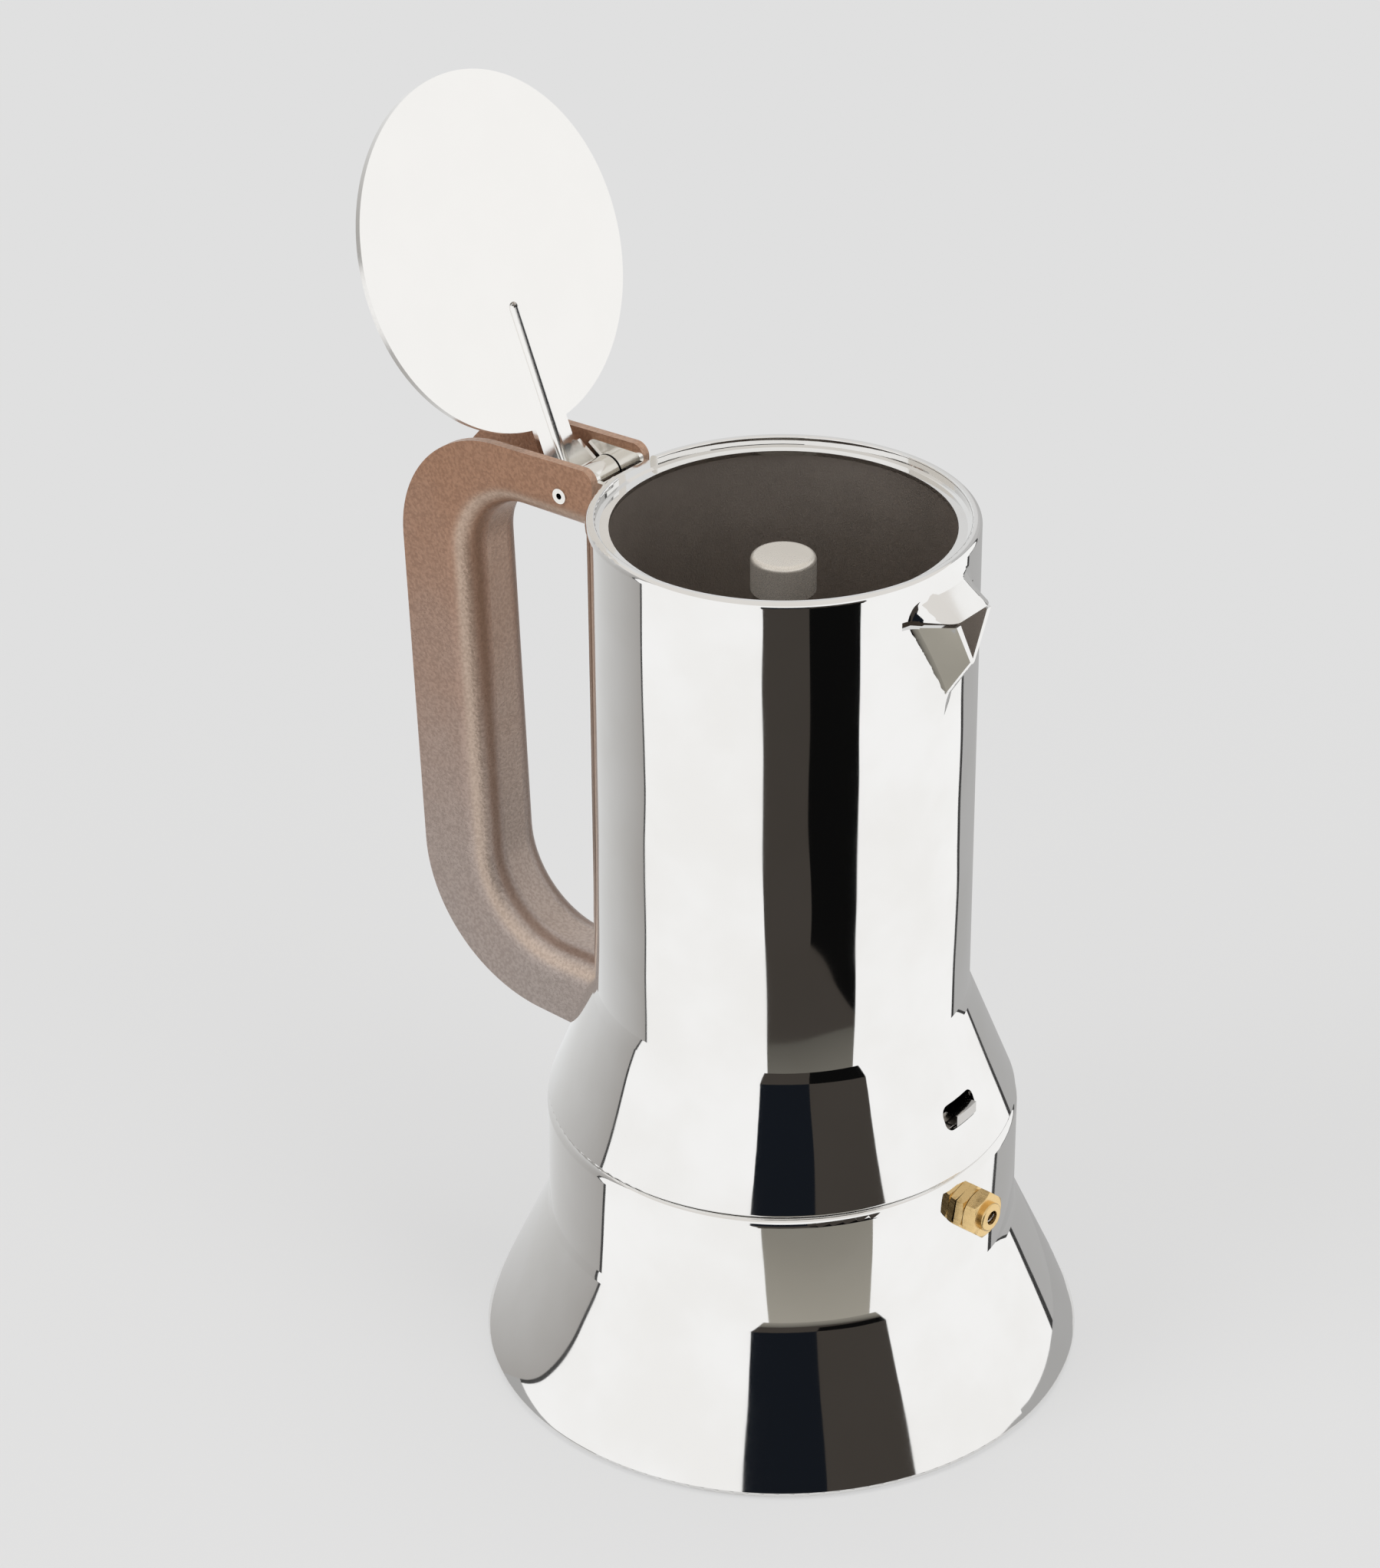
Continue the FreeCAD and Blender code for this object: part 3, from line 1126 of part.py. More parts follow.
def handle_channel(name):
    """Solid of the handle's channel, a wall away from the finger side and the flanks."""
    body = new_body(name)
    far = "0 - handle_reach - 2 * handle_wall"
    front = "handle_wall - tower_radius"
    low = "handle_base - 2 * handle_wall"
    high = "handle_top + 2 * handle_wall"
    ceiling = "low_arm_level - handle_wall"
    floor = "arm_under + handle_wall"
    low_corner = ("0 - grip_low - handle_wall", ceiling)
    top_corner = ("0 - grip_top - handle_wall", floor)
    profile = outline(body, f"{name}_side", "XZ_Plane", [
        (front, low), (far, low), (far, high), (front, high), (front, floor), top_corner, low_corner,
        (front, ceiling)])
    feature = pad(body, f"{name}_block", profile, "2 * handle_inner", symmetric=True)
    for end, radius, corner in (
            ("low", "finger_low_round", low_corner), ("top", "finger_top_round", top_corner)):
        feature = round_edges(body, f"{name}_{end}_corner", feature, f"{radius} + handle_wall",
                              corner_at(*corner, "y"))
    round_edges(body, f"{name}_bends", feature, "handle_bend - handle_wall",
                finger_edge("handle_inner", "handle_wall"))
    return body


def hinge_bracket():
    """Steel bracket welded behind the rim: low front wall and two cheeks fitted into the handle."""
    body = new_body("bracket_blank")
    back = "0 - bracket_back"
    edge = "0 - handle_front"
    above = "bracket_top + overcut"
    below = "bracket_low - overcut"
    profile = box_outline(body, "bracket_side", "XZ_Plane", (back, "0 - mouth_radius"),
                          ("bracket_low", "bracket_top"))
    pad(body, "bracket_block", profile, "2 * handle_inner", symmetric=True)
    front = box_outline(body, "front_top", "XZ_Plane", (edge, "overcut - mouth_radius"),
                        ("rim_level - bracket_front_drop", above))
    feature = pocket(body, "front_lowered", front, "2 * handle_width", symmetric=True)
    for name, radius, corner in (
            ("cheek_back", "bracket_round", back), ("cheek_front", "bracket_front_round", edge)):
        feature = round_edges(body, name, feature, radius, corner_at(corner, "bracket_top", "y"))
    inside = box_outline(body, "bracket_inside", "XZ_Plane",
                         ("0 - bracket_back - overcut", "0 - tower_radius - bracket_front"), (below, above))
    pocket(body, "bracket_hollow", inside, "2 * cheek_inside", symmetric=True)
    tower = box_outline(body, "tower_profile", "XZ_Plane", ("0", "tower_radius"), (below, above))
    revolve(body, "tower_side", tower, cut=True)
    hinge = [("0 - hinge_reach", "hinge_level")]
    pin = circles(body, "bracket_pin_circle", "XZ_Plane", "pin_radius + pin_press", hinge)
    pocket(body, "bracket_pin_hole", pin, "2 * handle_width", symmetric=True)
    return common("hinge_bracket", body, handle_channel("bracket_channel"))


def hinge_pin():
    """Hollow rivet through handle, bracket and lid barrel, flared at both ends."""
    body = new_body("hinge_pin")
    axis = [("0 - hinge_reach", "hinge_level")]
    shank = circles(body, "shank_circle", "XZ_Plane", "pin_radius", axis)
    pad(body, "shank", shank, "handle_width", symmetric=True)
    far = "0 - handle_width / 2 - pin_head_height"
    for name, level in (("near_head", "handle_width / 2"), ("far_head", far)):
        head = circles(body, f"{name}_circle", "XZ_Plane", "pin_head", axis, level)
        pad(body, name, head, "pin_head_height")
    bore = circles(body, "pin_bore_circle", "XZ_Plane", "pin_bore", axis)
    pocket(body, "pin_bore_hole", bore, "2 * handle_width", symmetric=True)
    return body


def open_lid(body):
    """Turn a piece that is drawn closed about the hinge into the open lid."""
    base = ("hinge_reach * (cos(lid_open) - 1) + hinge_level * sin(lid_open)", "0",
            "hinge_level * (1 - cos(lid_open)) + hinge_reach * sin(lid_open)")
    return placed(body, Vector(0, -1, 0), "lid_open", base)


def lid():
    """Flat disc with an arm and two knuckle flanges, and a round pressed rib, hollow on the inside."""
    body = new_body("lid")
    tail = "0 - hinge_reach - lid_tail"
    arm_half = "lid_arm_width / 2"
    rib_line = [("0", "rib_axis")]
    rib_radius = "groove_radius + lid_thickness"
    rib = circles(body, "rib_circle", "YZ_Plane", rib_radius, rib_line, tail)
    pad(body, "rib", rib, f"rib_end - ({tail})")
    ball(body, "rib_tip", rib_radius, ("rib_end", "0", "rib_axis"))
    under = box_outline(body, "rib_under_outline", "XY_Plane", (f"{tail} - overcut", "0"),
                        ("0 - lid_radius", "lid_radius"), "lid_level")
    pocket(body, "rib_under", under, f"2 * ({rib_radius})")
    disc = circles(body, "lid_circle", "XY_Plane", "lid_radius", [("0", "0")], "lid_level")
    pad(body, "lid_disc", disc, "lid_thickness")
    arm = box_outline(body, "arm_outline", "XY_Plane", (tail, "0 - mouth_radius"),
                      (f"0 - {arm_half}", arm_half), "lid_level")
    pad(body, "lid_arm", arm, "lid_thickness")
    tip = "knuckle_front - hinge_reach"
    low = "hinge_level + knuckle_rise"
    side = outline(body, "knuckle_side", "XZ_Plane", [
        (tip, "lid_top"), (tip, "lid_level - knuckle_tip"), ("knuckle_slope - hinge_reach", low),
        (tail, low), (tail, "lid_top")])
    pad(body, "knuckles", side, "lid_arm_width + 2 * knuckle_wall", symmetric=True)
    back = "lid_foot / 2 - hinge_reach"
    between = box_outline(body, "knuckle_gap", "XZ_Plane", (back, f"{tip} + overcut"),
                          (f"{low} - overcut", "lid_level"))
    pocket(body, "knuckle_hollow", between, "lid_arm_width", symmetric=True)
    hinge = [("0 - hinge_reach", "hinge_level")]
    seat = circles(body, "barrel_seat_circle", "XZ_Plane", "barrel_radius", hinge)
    pocket(body, "barrel_seat", seat, "2 * handle_width", symmetric=True)
    start = "lid_foot / 2 + lid_thickness - hinge_reach"
    groove = circles(body, "groove_circle", "YZ_Plane", "groove_radius", rib_line, start)
    pocket(body, "rib_hollow", groove, f"rib_end - ({start})", backwards=True)
    ball(body, "rib_hollow_tip", "groove_radius", ("rib_end", "0", "rib_axis"), cut=True)
    return open_lid(body)


def lid_barrel():
    """Tube welded to the arm that turns on the hinge pin between the bracket cheeks."""
    body = new_body("lid_barrel")
    axis = [("0 - hinge_reach", "hinge_level")]
    tube = circles(body, "barrel_circle", "XZ_Plane", "barrel_radius", axis)
    pad(body, "barrel_tube", tube, "barrel_length", symmetric=True)
    bore = circles(body, "barrel_bore_circle", "XZ_Plane", "pin_radius + pin_fit", axis)
    pocket(body, "barrel_bore", bore, "2 * barrel_length", symmetric=True)
    return open_lid(body)


def handle_lug():
    """Steel lug welded to the skirt and fitted into the lower arm, which is screwed to it."""
    body = new_body("lug_blank")
    side = "lug_width / 2"
    plate = box_outline(body, "lug_outline", "XY_Plane", ("0 - lug_reach", "0 - tower_radius"),
                        (f"0 - {side}", side), "lug_level")
    pad(body, "lug_plate", plate, "lug_thickness")
    skirt = outline(body, "lug_trim_profile", "XZ_Plane", [
        ("0", "skirt_level"), ("skirt_radius", "skirt_level"), ("tower_radius", "tower_level"),
        ("0", "tower_level")])
    revolve(body, "lug_trim", skirt, cut=True)
    screw = [("0 - screw_reach", "0")]
    hole = circles(body, "lug_hole_circle", "XY_Plane", "screw_radius + pin_press", screw,
                   "lug_level - overcut")
    pocket(body, "lug_hole", hole, "lug_thickness + 2 * overcut", backwards=True)
    return common("handle_lug", body, handle_channel("lug_channel"))


def handle_screw():
    """Screw from below through the lug into the web of the handle."""
    body = new_body("handle_screw")
    axis = [("0 - screw_reach", "0")]
    under = "lug_level - screw_head_height"
    pad(body, "screw_head", circles(body, "screw_head_circle", "XY_Plane", "screw_head_radius", axis, under),
        "screw_head_height")
    shank = circles(body, "screw_shank_circle", "XY_Plane", "screw_radius", axis, "lug_level")
    pad(body, "screw_shank", shank, "lug_thickness + screw_bite")
    return body


PIECES = [
    boiler_shell(), boiler_neck(), boiler_base(), valve_body(), valve_cap(), valve_washer(), valve_nut(),
    valve_plunger(), valve_spring(), funnel(), funnel_screen(), collector_shell(), collector_floor(),
    coffee_column(), column_cap(), gasket(), filter_plate(), lock_ring(), ring_clips(), latch_tongue(),
    latch_guide(), handle(), hinge_bracket(), hinge_pin(), lid(), lid_barrel(), handle_lug(), handle_screw(),
]

doc.recompute()
for item in doc.Objects:
    if "Invalid" in item.State or "Error" in item.State:
        raise RuntimeError(f"{item.Label} failed: {item.State}")
for piece in PIECES:
    if piece.Shape.isNull() or not piece.Shape.isValid():
        raise RuntimeError(f"{piece.Label} has no valid shape")

os.makedirs("parts", exist_ok=True)
for piece in PIECES:
    piece.Shape.exportStep(f"parts/{piece.Label}.step")
    print(f"{piece.Label}: {len(piece.Shape.Solids)} solid, {piece.Shape.Volume:.1f} mm3")
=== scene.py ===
"""Looks of a stovetop coffee pot: finishes for its solids, small made pieces and a studio."""

import logging
import math
from dataclasses import dataclass
from enum import Enum
from typing import Dict, Optional, Sequence, Tuple, Union

import bmesh
import bpy
from mathutils import Matrix, Vector


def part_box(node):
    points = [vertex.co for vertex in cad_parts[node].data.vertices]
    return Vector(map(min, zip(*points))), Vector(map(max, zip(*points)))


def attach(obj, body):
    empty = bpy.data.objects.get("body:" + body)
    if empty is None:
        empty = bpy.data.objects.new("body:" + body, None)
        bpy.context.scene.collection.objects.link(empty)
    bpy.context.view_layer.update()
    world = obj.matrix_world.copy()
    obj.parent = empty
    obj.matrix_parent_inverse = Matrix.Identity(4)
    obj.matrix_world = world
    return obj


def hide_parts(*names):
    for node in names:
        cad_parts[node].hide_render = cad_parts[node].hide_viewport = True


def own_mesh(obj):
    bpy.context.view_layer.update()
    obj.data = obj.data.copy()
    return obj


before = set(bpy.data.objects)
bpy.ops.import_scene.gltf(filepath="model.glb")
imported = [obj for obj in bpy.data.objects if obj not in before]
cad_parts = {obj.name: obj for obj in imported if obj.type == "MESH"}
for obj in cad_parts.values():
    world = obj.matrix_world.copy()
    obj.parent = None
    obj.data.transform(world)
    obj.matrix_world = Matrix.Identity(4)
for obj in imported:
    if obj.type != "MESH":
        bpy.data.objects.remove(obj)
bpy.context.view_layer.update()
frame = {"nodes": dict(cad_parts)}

log = logging.getLogger("coffee_pot")

Colour = Tuple[float, float, float]
Point = Tuple[float, float, float]
Range = Tuple[float, float]
Socket = bpy.types.NodeSocket
Amount = Union[Socket, float]
Tone = Union[Socket, Colour]

ORIGIN: Point = (0.0, 0.0, 0.0)
UP: Point = (0.0, 0.0, 1.0)
QUARTER_TURN = math.pi / 2.0
FULL_TURN = 2.0 * math.pi
# Most of a cloudy noise lies in this range.
CLOUDY: Range = (0.3, 0.7)
# A wall that faces its axis this much counts as the inside of a shell.
INSIDE: Range = (-0.45, -0.25)
# The Wave texture turns through this many radians per unit of length at scale 1.
WAVE_PHASE = 20.0
# Places of the sockets of a Mix node, which share their names.
MIX_NUMBERS = (2, 3)
MIX_COLOURS = (6, 7)
MIX_COLOUR_RESULT = 2


class Axis(Enum):
    """An axis of the pot's frame."""

    X = "X"
    Y = "Y"
    Z = "Z"


class Seen(Enum):
    """Which rays meet a studio object."""

    BY_CAMERA = "camera"
    BY_GLOSS = "gloss"


class Along(Enum):
    """The way that a card's tone fades."""

    CARD = "share"
    FLOOR = "outward"


class Sum(Enum):
    """How a material works out a number."""

    ADD = "ADD"
    MULTIPLY = "MULTIPLY"
    LARGER = "MAXIMUM"
    SIZE = "ABSOLUTE"


def opaque(colour: Colour) -> Tuple[float, float, float, float]:
    """The colour with a full alpha, as sockets take it."""
    return (*colour, 1.0)


def shaded(colour: Colour, share: float) -> Colour:
    """The same colour at a share of its brightness."""
    return tuple(share * part for part in colour)


class Graph:
    """The nodes of one material, added and joined in reading order."""

    def __init__(self, name: str) -> None:
        """Start a material that holds only its output.

        Args:
            name: the material's name.
        """
        self.material = bpy.data.materials.new(name)
        self.material.use_nodes = True
        self.tree = self.material.node_tree
        self.tree.nodes.clear()
        self.output = self.tree.nodes.new("ShaderNodeOutputMaterial")
        self.place = self.tree.nodes.new("ShaderNodeTexCoord")

    @property
    def position(self) -> Socket:
        """The point on the object, in its own frame."""
        return self.place.outputs["Object"]

    @property
    def facing(self) -> Socket:
        """The surface's direction, in the object's own frame."""
        return self.place.outputs["Normal"]

    def add(self, kind: str, **settings: object) -> bpy.types.Node:
        """Add one node.

        Args:
            kind: the node's type.
            settings: its properties by name.

        Returns:
            The new node.
        """
        node = self.tree.nodes.new(kind)
        for name, value in settings.items():
            setattr(node, name, value)
        return node

    def feed(self, socket: Socket, value: object) -> None:
        """Give a socket another socket or a plain value.

        Args:
            socket: the input to fill.
            value: an output socket, a number or a tuple.
        """
        if isinstance(value, Socket):
            self.tree.links.new(value, socket)
        else:
            socket.default_value = value

    def part(self, vector: Socket, axis: Axis) -> Socket:
        """One part of a vector.

        Args:
            vector: the vector.
            axis: the part's axis.

        Returns:
            The number along that axis.
        """
        node = self.add("ShaderNodeSeparateXYZ")
        self.feed(node.inputs[0], vector)
        return node.outputs[axis.value]

    def moved(self, centre: Point, turn: float = 0.0, scale: Point = (1.0, 1.0, 1.0)) -> Socket:
        """The position seen from a centre, turned about Z and stretched.

        Args:
            centre: the point that becomes the origin.
            turn: degrees about Z.
            scale: stretch along the turned axes.

        Returns:
            The new coordinates.
        """
        shift = self.add("ShaderNodeVectorMath", operation="SUBTRACT")
        self.feed(shift.inputs[0], self.position)
        self.feed(shift.inputs[1], centre)
        mapping = self.add("ShaderNodeMapping", vector_type="POINT")
        self.feed(mapping.inputs["Vector"], shift.outputs[0])
        mapping.inputs["Rotation"].default_value = (0.0, 0.0, math.radians(turn))
        stretch = self.add("ShaderNodeVectorMath", operation="MULTIPLY")
        self.feed(stretch.inputs[0], mapping.outputs["Vector"])
        self.feed(stretch.inputs[1], scale)
        return stretch.outputs[0]

    def noise(self, where: Socket, scale: float, detail: float = 2.0,
              rough: float = 0.5) -> Socket:
        """Cloudy noise from 0 to 1.

        Args:
            where: the coordinates.
            scale: clouds per metre.
            detail: octaves.
            rough: weight of the finer octaves.

        Returns:
            The noise value.
        """
        node = self.add("ShaderNodeTexNoise")
        self.feed(node.inputs["Vector"], where)
        node.inputs["Scale"].default_value = scale
        node.inputs["Detail"].default_value = detail
        node.inputs["Roughness"].default_value = rough
        return node.outputs["Fac"]

    def rings(self, where: Socket, around: Axis, pitch: float, wobble: float) -> Socket:
        """Turning marks round an axis.

        Args:
            where: the coordinates.
            around: the axis of the rings.
            pitch: metres from ring to ring.
            wobble: how uneven the rings are.

        Returns:
            The wave value.
        """
        node = self.add("ShaderNodeTexWave", wave_type="RINGS",
                        rings_direction=around.value)
        self.feed(node.inputs["Vector"], where)
        node.inputs["Scale"].default_value = FULL_TURN / (WAVE_PHASE * pitch)
        node.inputs["Distortion"].default_value = wobble
        node.inputs["Detail"].default_value = 1.0
        return node.outputs["Fac"]

    def spread(self, value: Socket, low: float, high: float, to_low: float,
               to_high: float) -> Socket:
        """Carry one range of a value smoothly to another.

        Args:
            value: the value.
            low: start of its range.
            high: end of its range.
            to_low: result at the start.
            to_high: result at the end.

        Returns:
            The new value.
        """
        node = self.add("ShaderNodeMapRange", interpolation_type="SMOOTHSTEP")
        self.feed(node.inputs["Value"], value)
        node.inputs["From Min"].default_value = low
        node.inputs["From Max"].default_value = high
        node.inputs["To Min"].default_value = to_low
        node.inputs["To Max"].default_value = to_high
        return node.outputs["Result"]

    def combine(self, operation: Sum, first: Amount, second: Amount) -> Socket:
        """Work out one number from two.

        Args:
            operation: the sum to do.
            first: a socket or a number.
            second: a socket or a number.

        Returns:
            The result.
        """
        node = self.add("ShaderNodeMath", operation=operation.value)
        self.feed(node.inputs[0], first)
        self.feed(node.inputs[1], second)
        return node.outputs[0]

    def tint(self, share: Socket, low: Tone, high: Tone) -> Socket:
        """Blend two colours.

        Args:
            share: 0 for the first colour, 1 for the second.
            low: a colour or a socket.
            high: a colour or a socket.

        Returns:
            The blended colour.
        """
        node = self.add("ShaderNodeMix", data_type="RGBA")
        self.feed(node.inputs[0], share)
        for place, tone in zip(MIX_COLOURS, (low, high)):
            self.feed(node.inputs[place], tone if isinstance(tone, Socket) else opaque(tone))
        return node.outputs[MIX_COLOUR_RESULT]

    def mixed(self, share: Socket, low: Amount, high: Amount) -> Socket:
        """Blend two numbers.

        Args:
            share: 0 for the first, 1 for the second.
            low: a number or a socket.
            high: a number or a socket.

        Returns:
            The blended number.
        """
        node = self.add("ShaderNodeMix", data_type="FLOAT")
        self.feed(node.inputs[0], share)
        for place, number in zip(MIX_NUMBERS, (low, high)):
            self.feed(node.inputs[place], number)
        return node.outputs[0]

    def blended(self, share: Socket, low: Socket, high: Socket) -> Socket:
        """Blend two shaders.

        Args:
            share: 0 for the first, 1 for the second.
            low: the first shader.
            high: the second shader.

        Returns:
            The blended shader.
        """
        node = self.add("ShaderNodeMixShader")
        for socket, value in zip(node.inputs, (share, low, high)):
            self.feed(socket, value)
        return node.outputs[0]

    def relief(self, height: Socket, depth: float, under: Optional[Socket] = None) -> Socket:
        """A bump from a height map.

        Args:
            height: the height from 0 to 1.
            depth: metres from lowest to highest.
            under: another bump that this one lies on.

        Returns:
            The bumped direction.
        """
        node = self.add("ShaderNodeBump")
        node.inputs["Strength"].default_value = 1.0
        node.inputs["Distance"].default_value = depth
        self.feed(node.inputs["Height"], height)
        if under is not None:
            self.feed(node.inputs["Normal"], under)
        return node.outputs["Normal"]

    def inward(self) -> Socket:
        """How far a turned wall faces its own axis: 1 on the inside of a sheet shell.

        Returns:
            A mask of the inner faces.
        """
        flat = self.add("ShaderNodeVectorMath", operation="MULTIPLY")
        self.feed(flat.inputs[0], self.position)
        self.feed(flat.inputs[1], (1.0, 1.0, 0.0))
        unit = self.add("ShaderNodeVectorMath", operation="NORMALIZE")
        self.feed(unit.inputs[0], flat.outputs[0])
        dot = self.add("ShaderNodeVectorMath", operation="DOT_PRODUCT")
        self.feed(dot.inputs[0], unit.outputs[0])
        self.feed(dot.inputs[1], self.facing)
        return self.spread(dot.outputs["Value"], *INSIDE, 1.0, 0.0)

    def surface(self, values: Dict[str, object]) -> bpy.types.Material:
        """Close the material with its shader.

        Args:
            values: the shader's inputs by name, plain values or sockets.

        Returns:
            The finished material.
        """
        shader = self.add("ShaderNodeBsdfPrincipled")
        for name, value in values.items():
            self.feed(shader.inputs[name], value)
        self.tree.links.new(shader.outputs["BSDF"], self.output.inputs["Surface"])
        return self.material


@dataclass(frozen=True)
class MirrorSteel:
    """Polished sheet steel, slightly wavy outside and left plain inside, below the rim's ledge.

    Noise scales are in clouds per metre, lengths in metres.
    """

    name: str
    colour: Colour = (0.885, 0.882, 0.874)
    dulled: Colour = (0.955, 0.950, 0.940)
    inside: Colour = (0.62, 0.56, 0.51)
    inside_shade: float = 0.8
    inside_rough: Range = (0.50, 0.60)
    haze: float = 0.03
    haze_range: Range = (0.3, 0.75)
    haze_more: float = 0.03
    line_range: Range = (0.45, 0.8)
    line_haze: float = 0.015
    line_stretch: Point = (1.0, 1.0, 9.0)
    clouds: float = 45.0
    grain: float = 2600.0
    lines: float = 900.0
    stains: float = 90.0
    swells: float = 22.0
    wave: float = 0.0010
    grain_depth: float = 0.00003
    ledge: float = 0.2009
    ledge_edge: Range = (-0.0003, 0.0001)

    def material(self) -> bpy.types.Material:
        """Make the material.

        Returns:
            The finished material.
        """
        g = Graph(self.name)
        low, high = (self.ledge + step for step in self.ledge_edge)
        below = g.spread(g.part(g.position, Axis.Z), low, high, 1.0, 0.0)
        inner = g.combine(Sum.MULTIPLY, g.inward(), below)
        cloud = g.noise(g.position, self.clouds, detail=3.0)
        grain = g.noise(g.position, self.grain)
        lines = g.noise(g.moved(ORIGIN, scale=self.line_stretch), self.lines)
        polish = g.combine(
            Sum.ADD, g.spread(cloud, *self.haze_range, self.haze, self.haze + self.haze_more),
            g.spread(lines, *self.line_range, 0.0, self.line_haze))
        plain = g.spread(grain, *CLOUDY, *self.inside_rough)
        dull = tuple(share * part for share, part in zip(self.dulled, self.colour))
        buffed = g.tint(g.spread(cloud, *CLOUDY, 0.0, 1.0), self.colour, dull)
        raw = g.tint(g.noise(g.position, self.stains, detail=4.0), self.inside,
                     shaded(self.inside, self.inside_shade))
        swell = g.relief(g.noise(g.position, self.swells, detail=1.0), self.wave)
        return g.surface({
            "Base Color": g.tint(inner, buffed, raw),
            "Metallic": 1.0,
            "Roughness": g.mixed(inner, polish, plain),
            "Normal": g.relief(g.combine(Sum.MULTIPLY, grain, inner), self.grain_depth, swell),
        })


@dataclass(frozen=True)
class BrushedSteel:
    """Sheet or turned steel with fine marks in one direction."""

    name: str
    colour: Colour
    rough: float
    stretch: Point
    density: float = 1400.0
    depth: float = 0.000006
    clouds: float = 1.0
    metal: float = 1.0
    cloud_scale: float = 70.0
    shade: float = 0.93
    mark_range: Range = (0.25, 0.75)
    mark_rough: Range = (0.8, 1.25)
    cloud_range: Range = (0.35, 0.7)
    cloud_rough: Range = (-0.03, 0.04)

    def material(self) -> bpy.types.Material:
        """Make the material.

        Returns:
            The finished material.
        """
        g = Graph(self.name)
        marks = g.noise(g.moved(ORIGIN, scale=self.stretch), self.density, detail=3.0, rough=0.6)
        cloud = g.noise(g.position, self.cloud_scale, detail=3.0)
        brushed = g.spread(marks, *self.mark_range,
                           *(share * self.rough for share in self.mark_rough))
        smeared = g.spread(cloud, *self.cloud_range,
                           *(share * self.clouds for share in self.cloud_rough))
        tone = g.tint(g.spread(cloud, *CLOUDY, 0.0, self.clouds), self.colour,
                      shaded(self.colour, self.shade))
        return g.surface({
            "Base Color": tone,
            "Metallic": self.metal,
            "Roughness": g.combine(Sum.ADD, brushed, smeared),
            "Normal": g.relief(marks, self.depth),
        })


@dataclass(frozen=True)
class TurnedMetal:
    """Metal turned on a lathe: rings round its axis, with tarnish in the low places."""

    name: str
    colour: Colour
    tarnish: Colour
    rough: float
    around: Axis
    centre: Point = ORIGIN
    turn: float = 0.0
    pitch: float = 0.0003
    depth: float = 0.000006
    spots: float = 420.0
    wobble: float = 1.2
    cloud_share: float = 0.3
    tarnish_range: Range = (0.52, 0.78)
    tarnish_most: float = 0.75
    ring_rough: float = 0.03
    cloud_range: Range = (0.35, 0.7)
    cloud_rough: Range = (-0.03, 0.08)
    pit_depth: float = 0.00002

    def material(self) -> bpy.types.Material:
        """Make the material.

        Returns:
            The finished material.
        """
        g = Graph(self.name)
        where = g.moved(self.centre, self.turn)
        rings = g.rings(where, self.around, self.pitch, self.wobble)
        spots = g.noise(where, self.spots, detail=4.0, rough=0.6)
        cloud = g.noise(where, self.spots * self.cloud_share)
        tone = g.tint(g.spread(spots, *self.tarnish_range, 0.0, self.tarnish_most),
                      self.colour, self.tarnish)
        ringed = g.spread(rings, 0.0, 1.0, self.rough - self.ring_rough,
                          self.rough + self.ring_rough)
        smeared = g.spread(cloud, *self.cloud_range, *self.cloud_rough)
        pits = g.relief(spots, self.pit_depth)
        return g.surface({
            "Base Color": tone,
            "Metallic": 1.0,
            "Roughness": g.combine(Sum.ADD, ringed, smeared),
            "Normal": g.relief(rings, self.depth, pits),
        })


@dataclass(frozen=True)
class Rubber:
    """Pale silicone rubber with a fine moulded skin."""

    name: str
    colour: Colour
    shade: float = 0.86
    rough: float = 0.55
    skin: float = 1800.0
    skin_rough: Range = (-0.08, 0.1)
    skin_depth: float = 0.00003
    clouds: float = 120.0
    scatter: float = 0.15
    scatter_depth: Point = (0.002, 0.0016, 0.0012)

    def material(self) -> bpy.types.Material:
        """Make the material.

        Returns:
            The finished material.
        """
        g = Graph(self.name)
        skin = g.noise(g.position, self.skin)
        cloud = g.noise(g.position, self.clouds, detail=3.0)
        return g.surface({
            "Base Color": g.tint(cloud, self.colour, shaded(self.colour, self.shade)),
            "Roughness": g.spread(skin, *CLOUDY, *(self.rough + more for more in self.skin_rough)),
            "Subsurface Weight": self.scatter,
            "Subsurface Radius": self.scatter_depth,
            "Normal": g.relief(skin, self.skin_depth),
        })


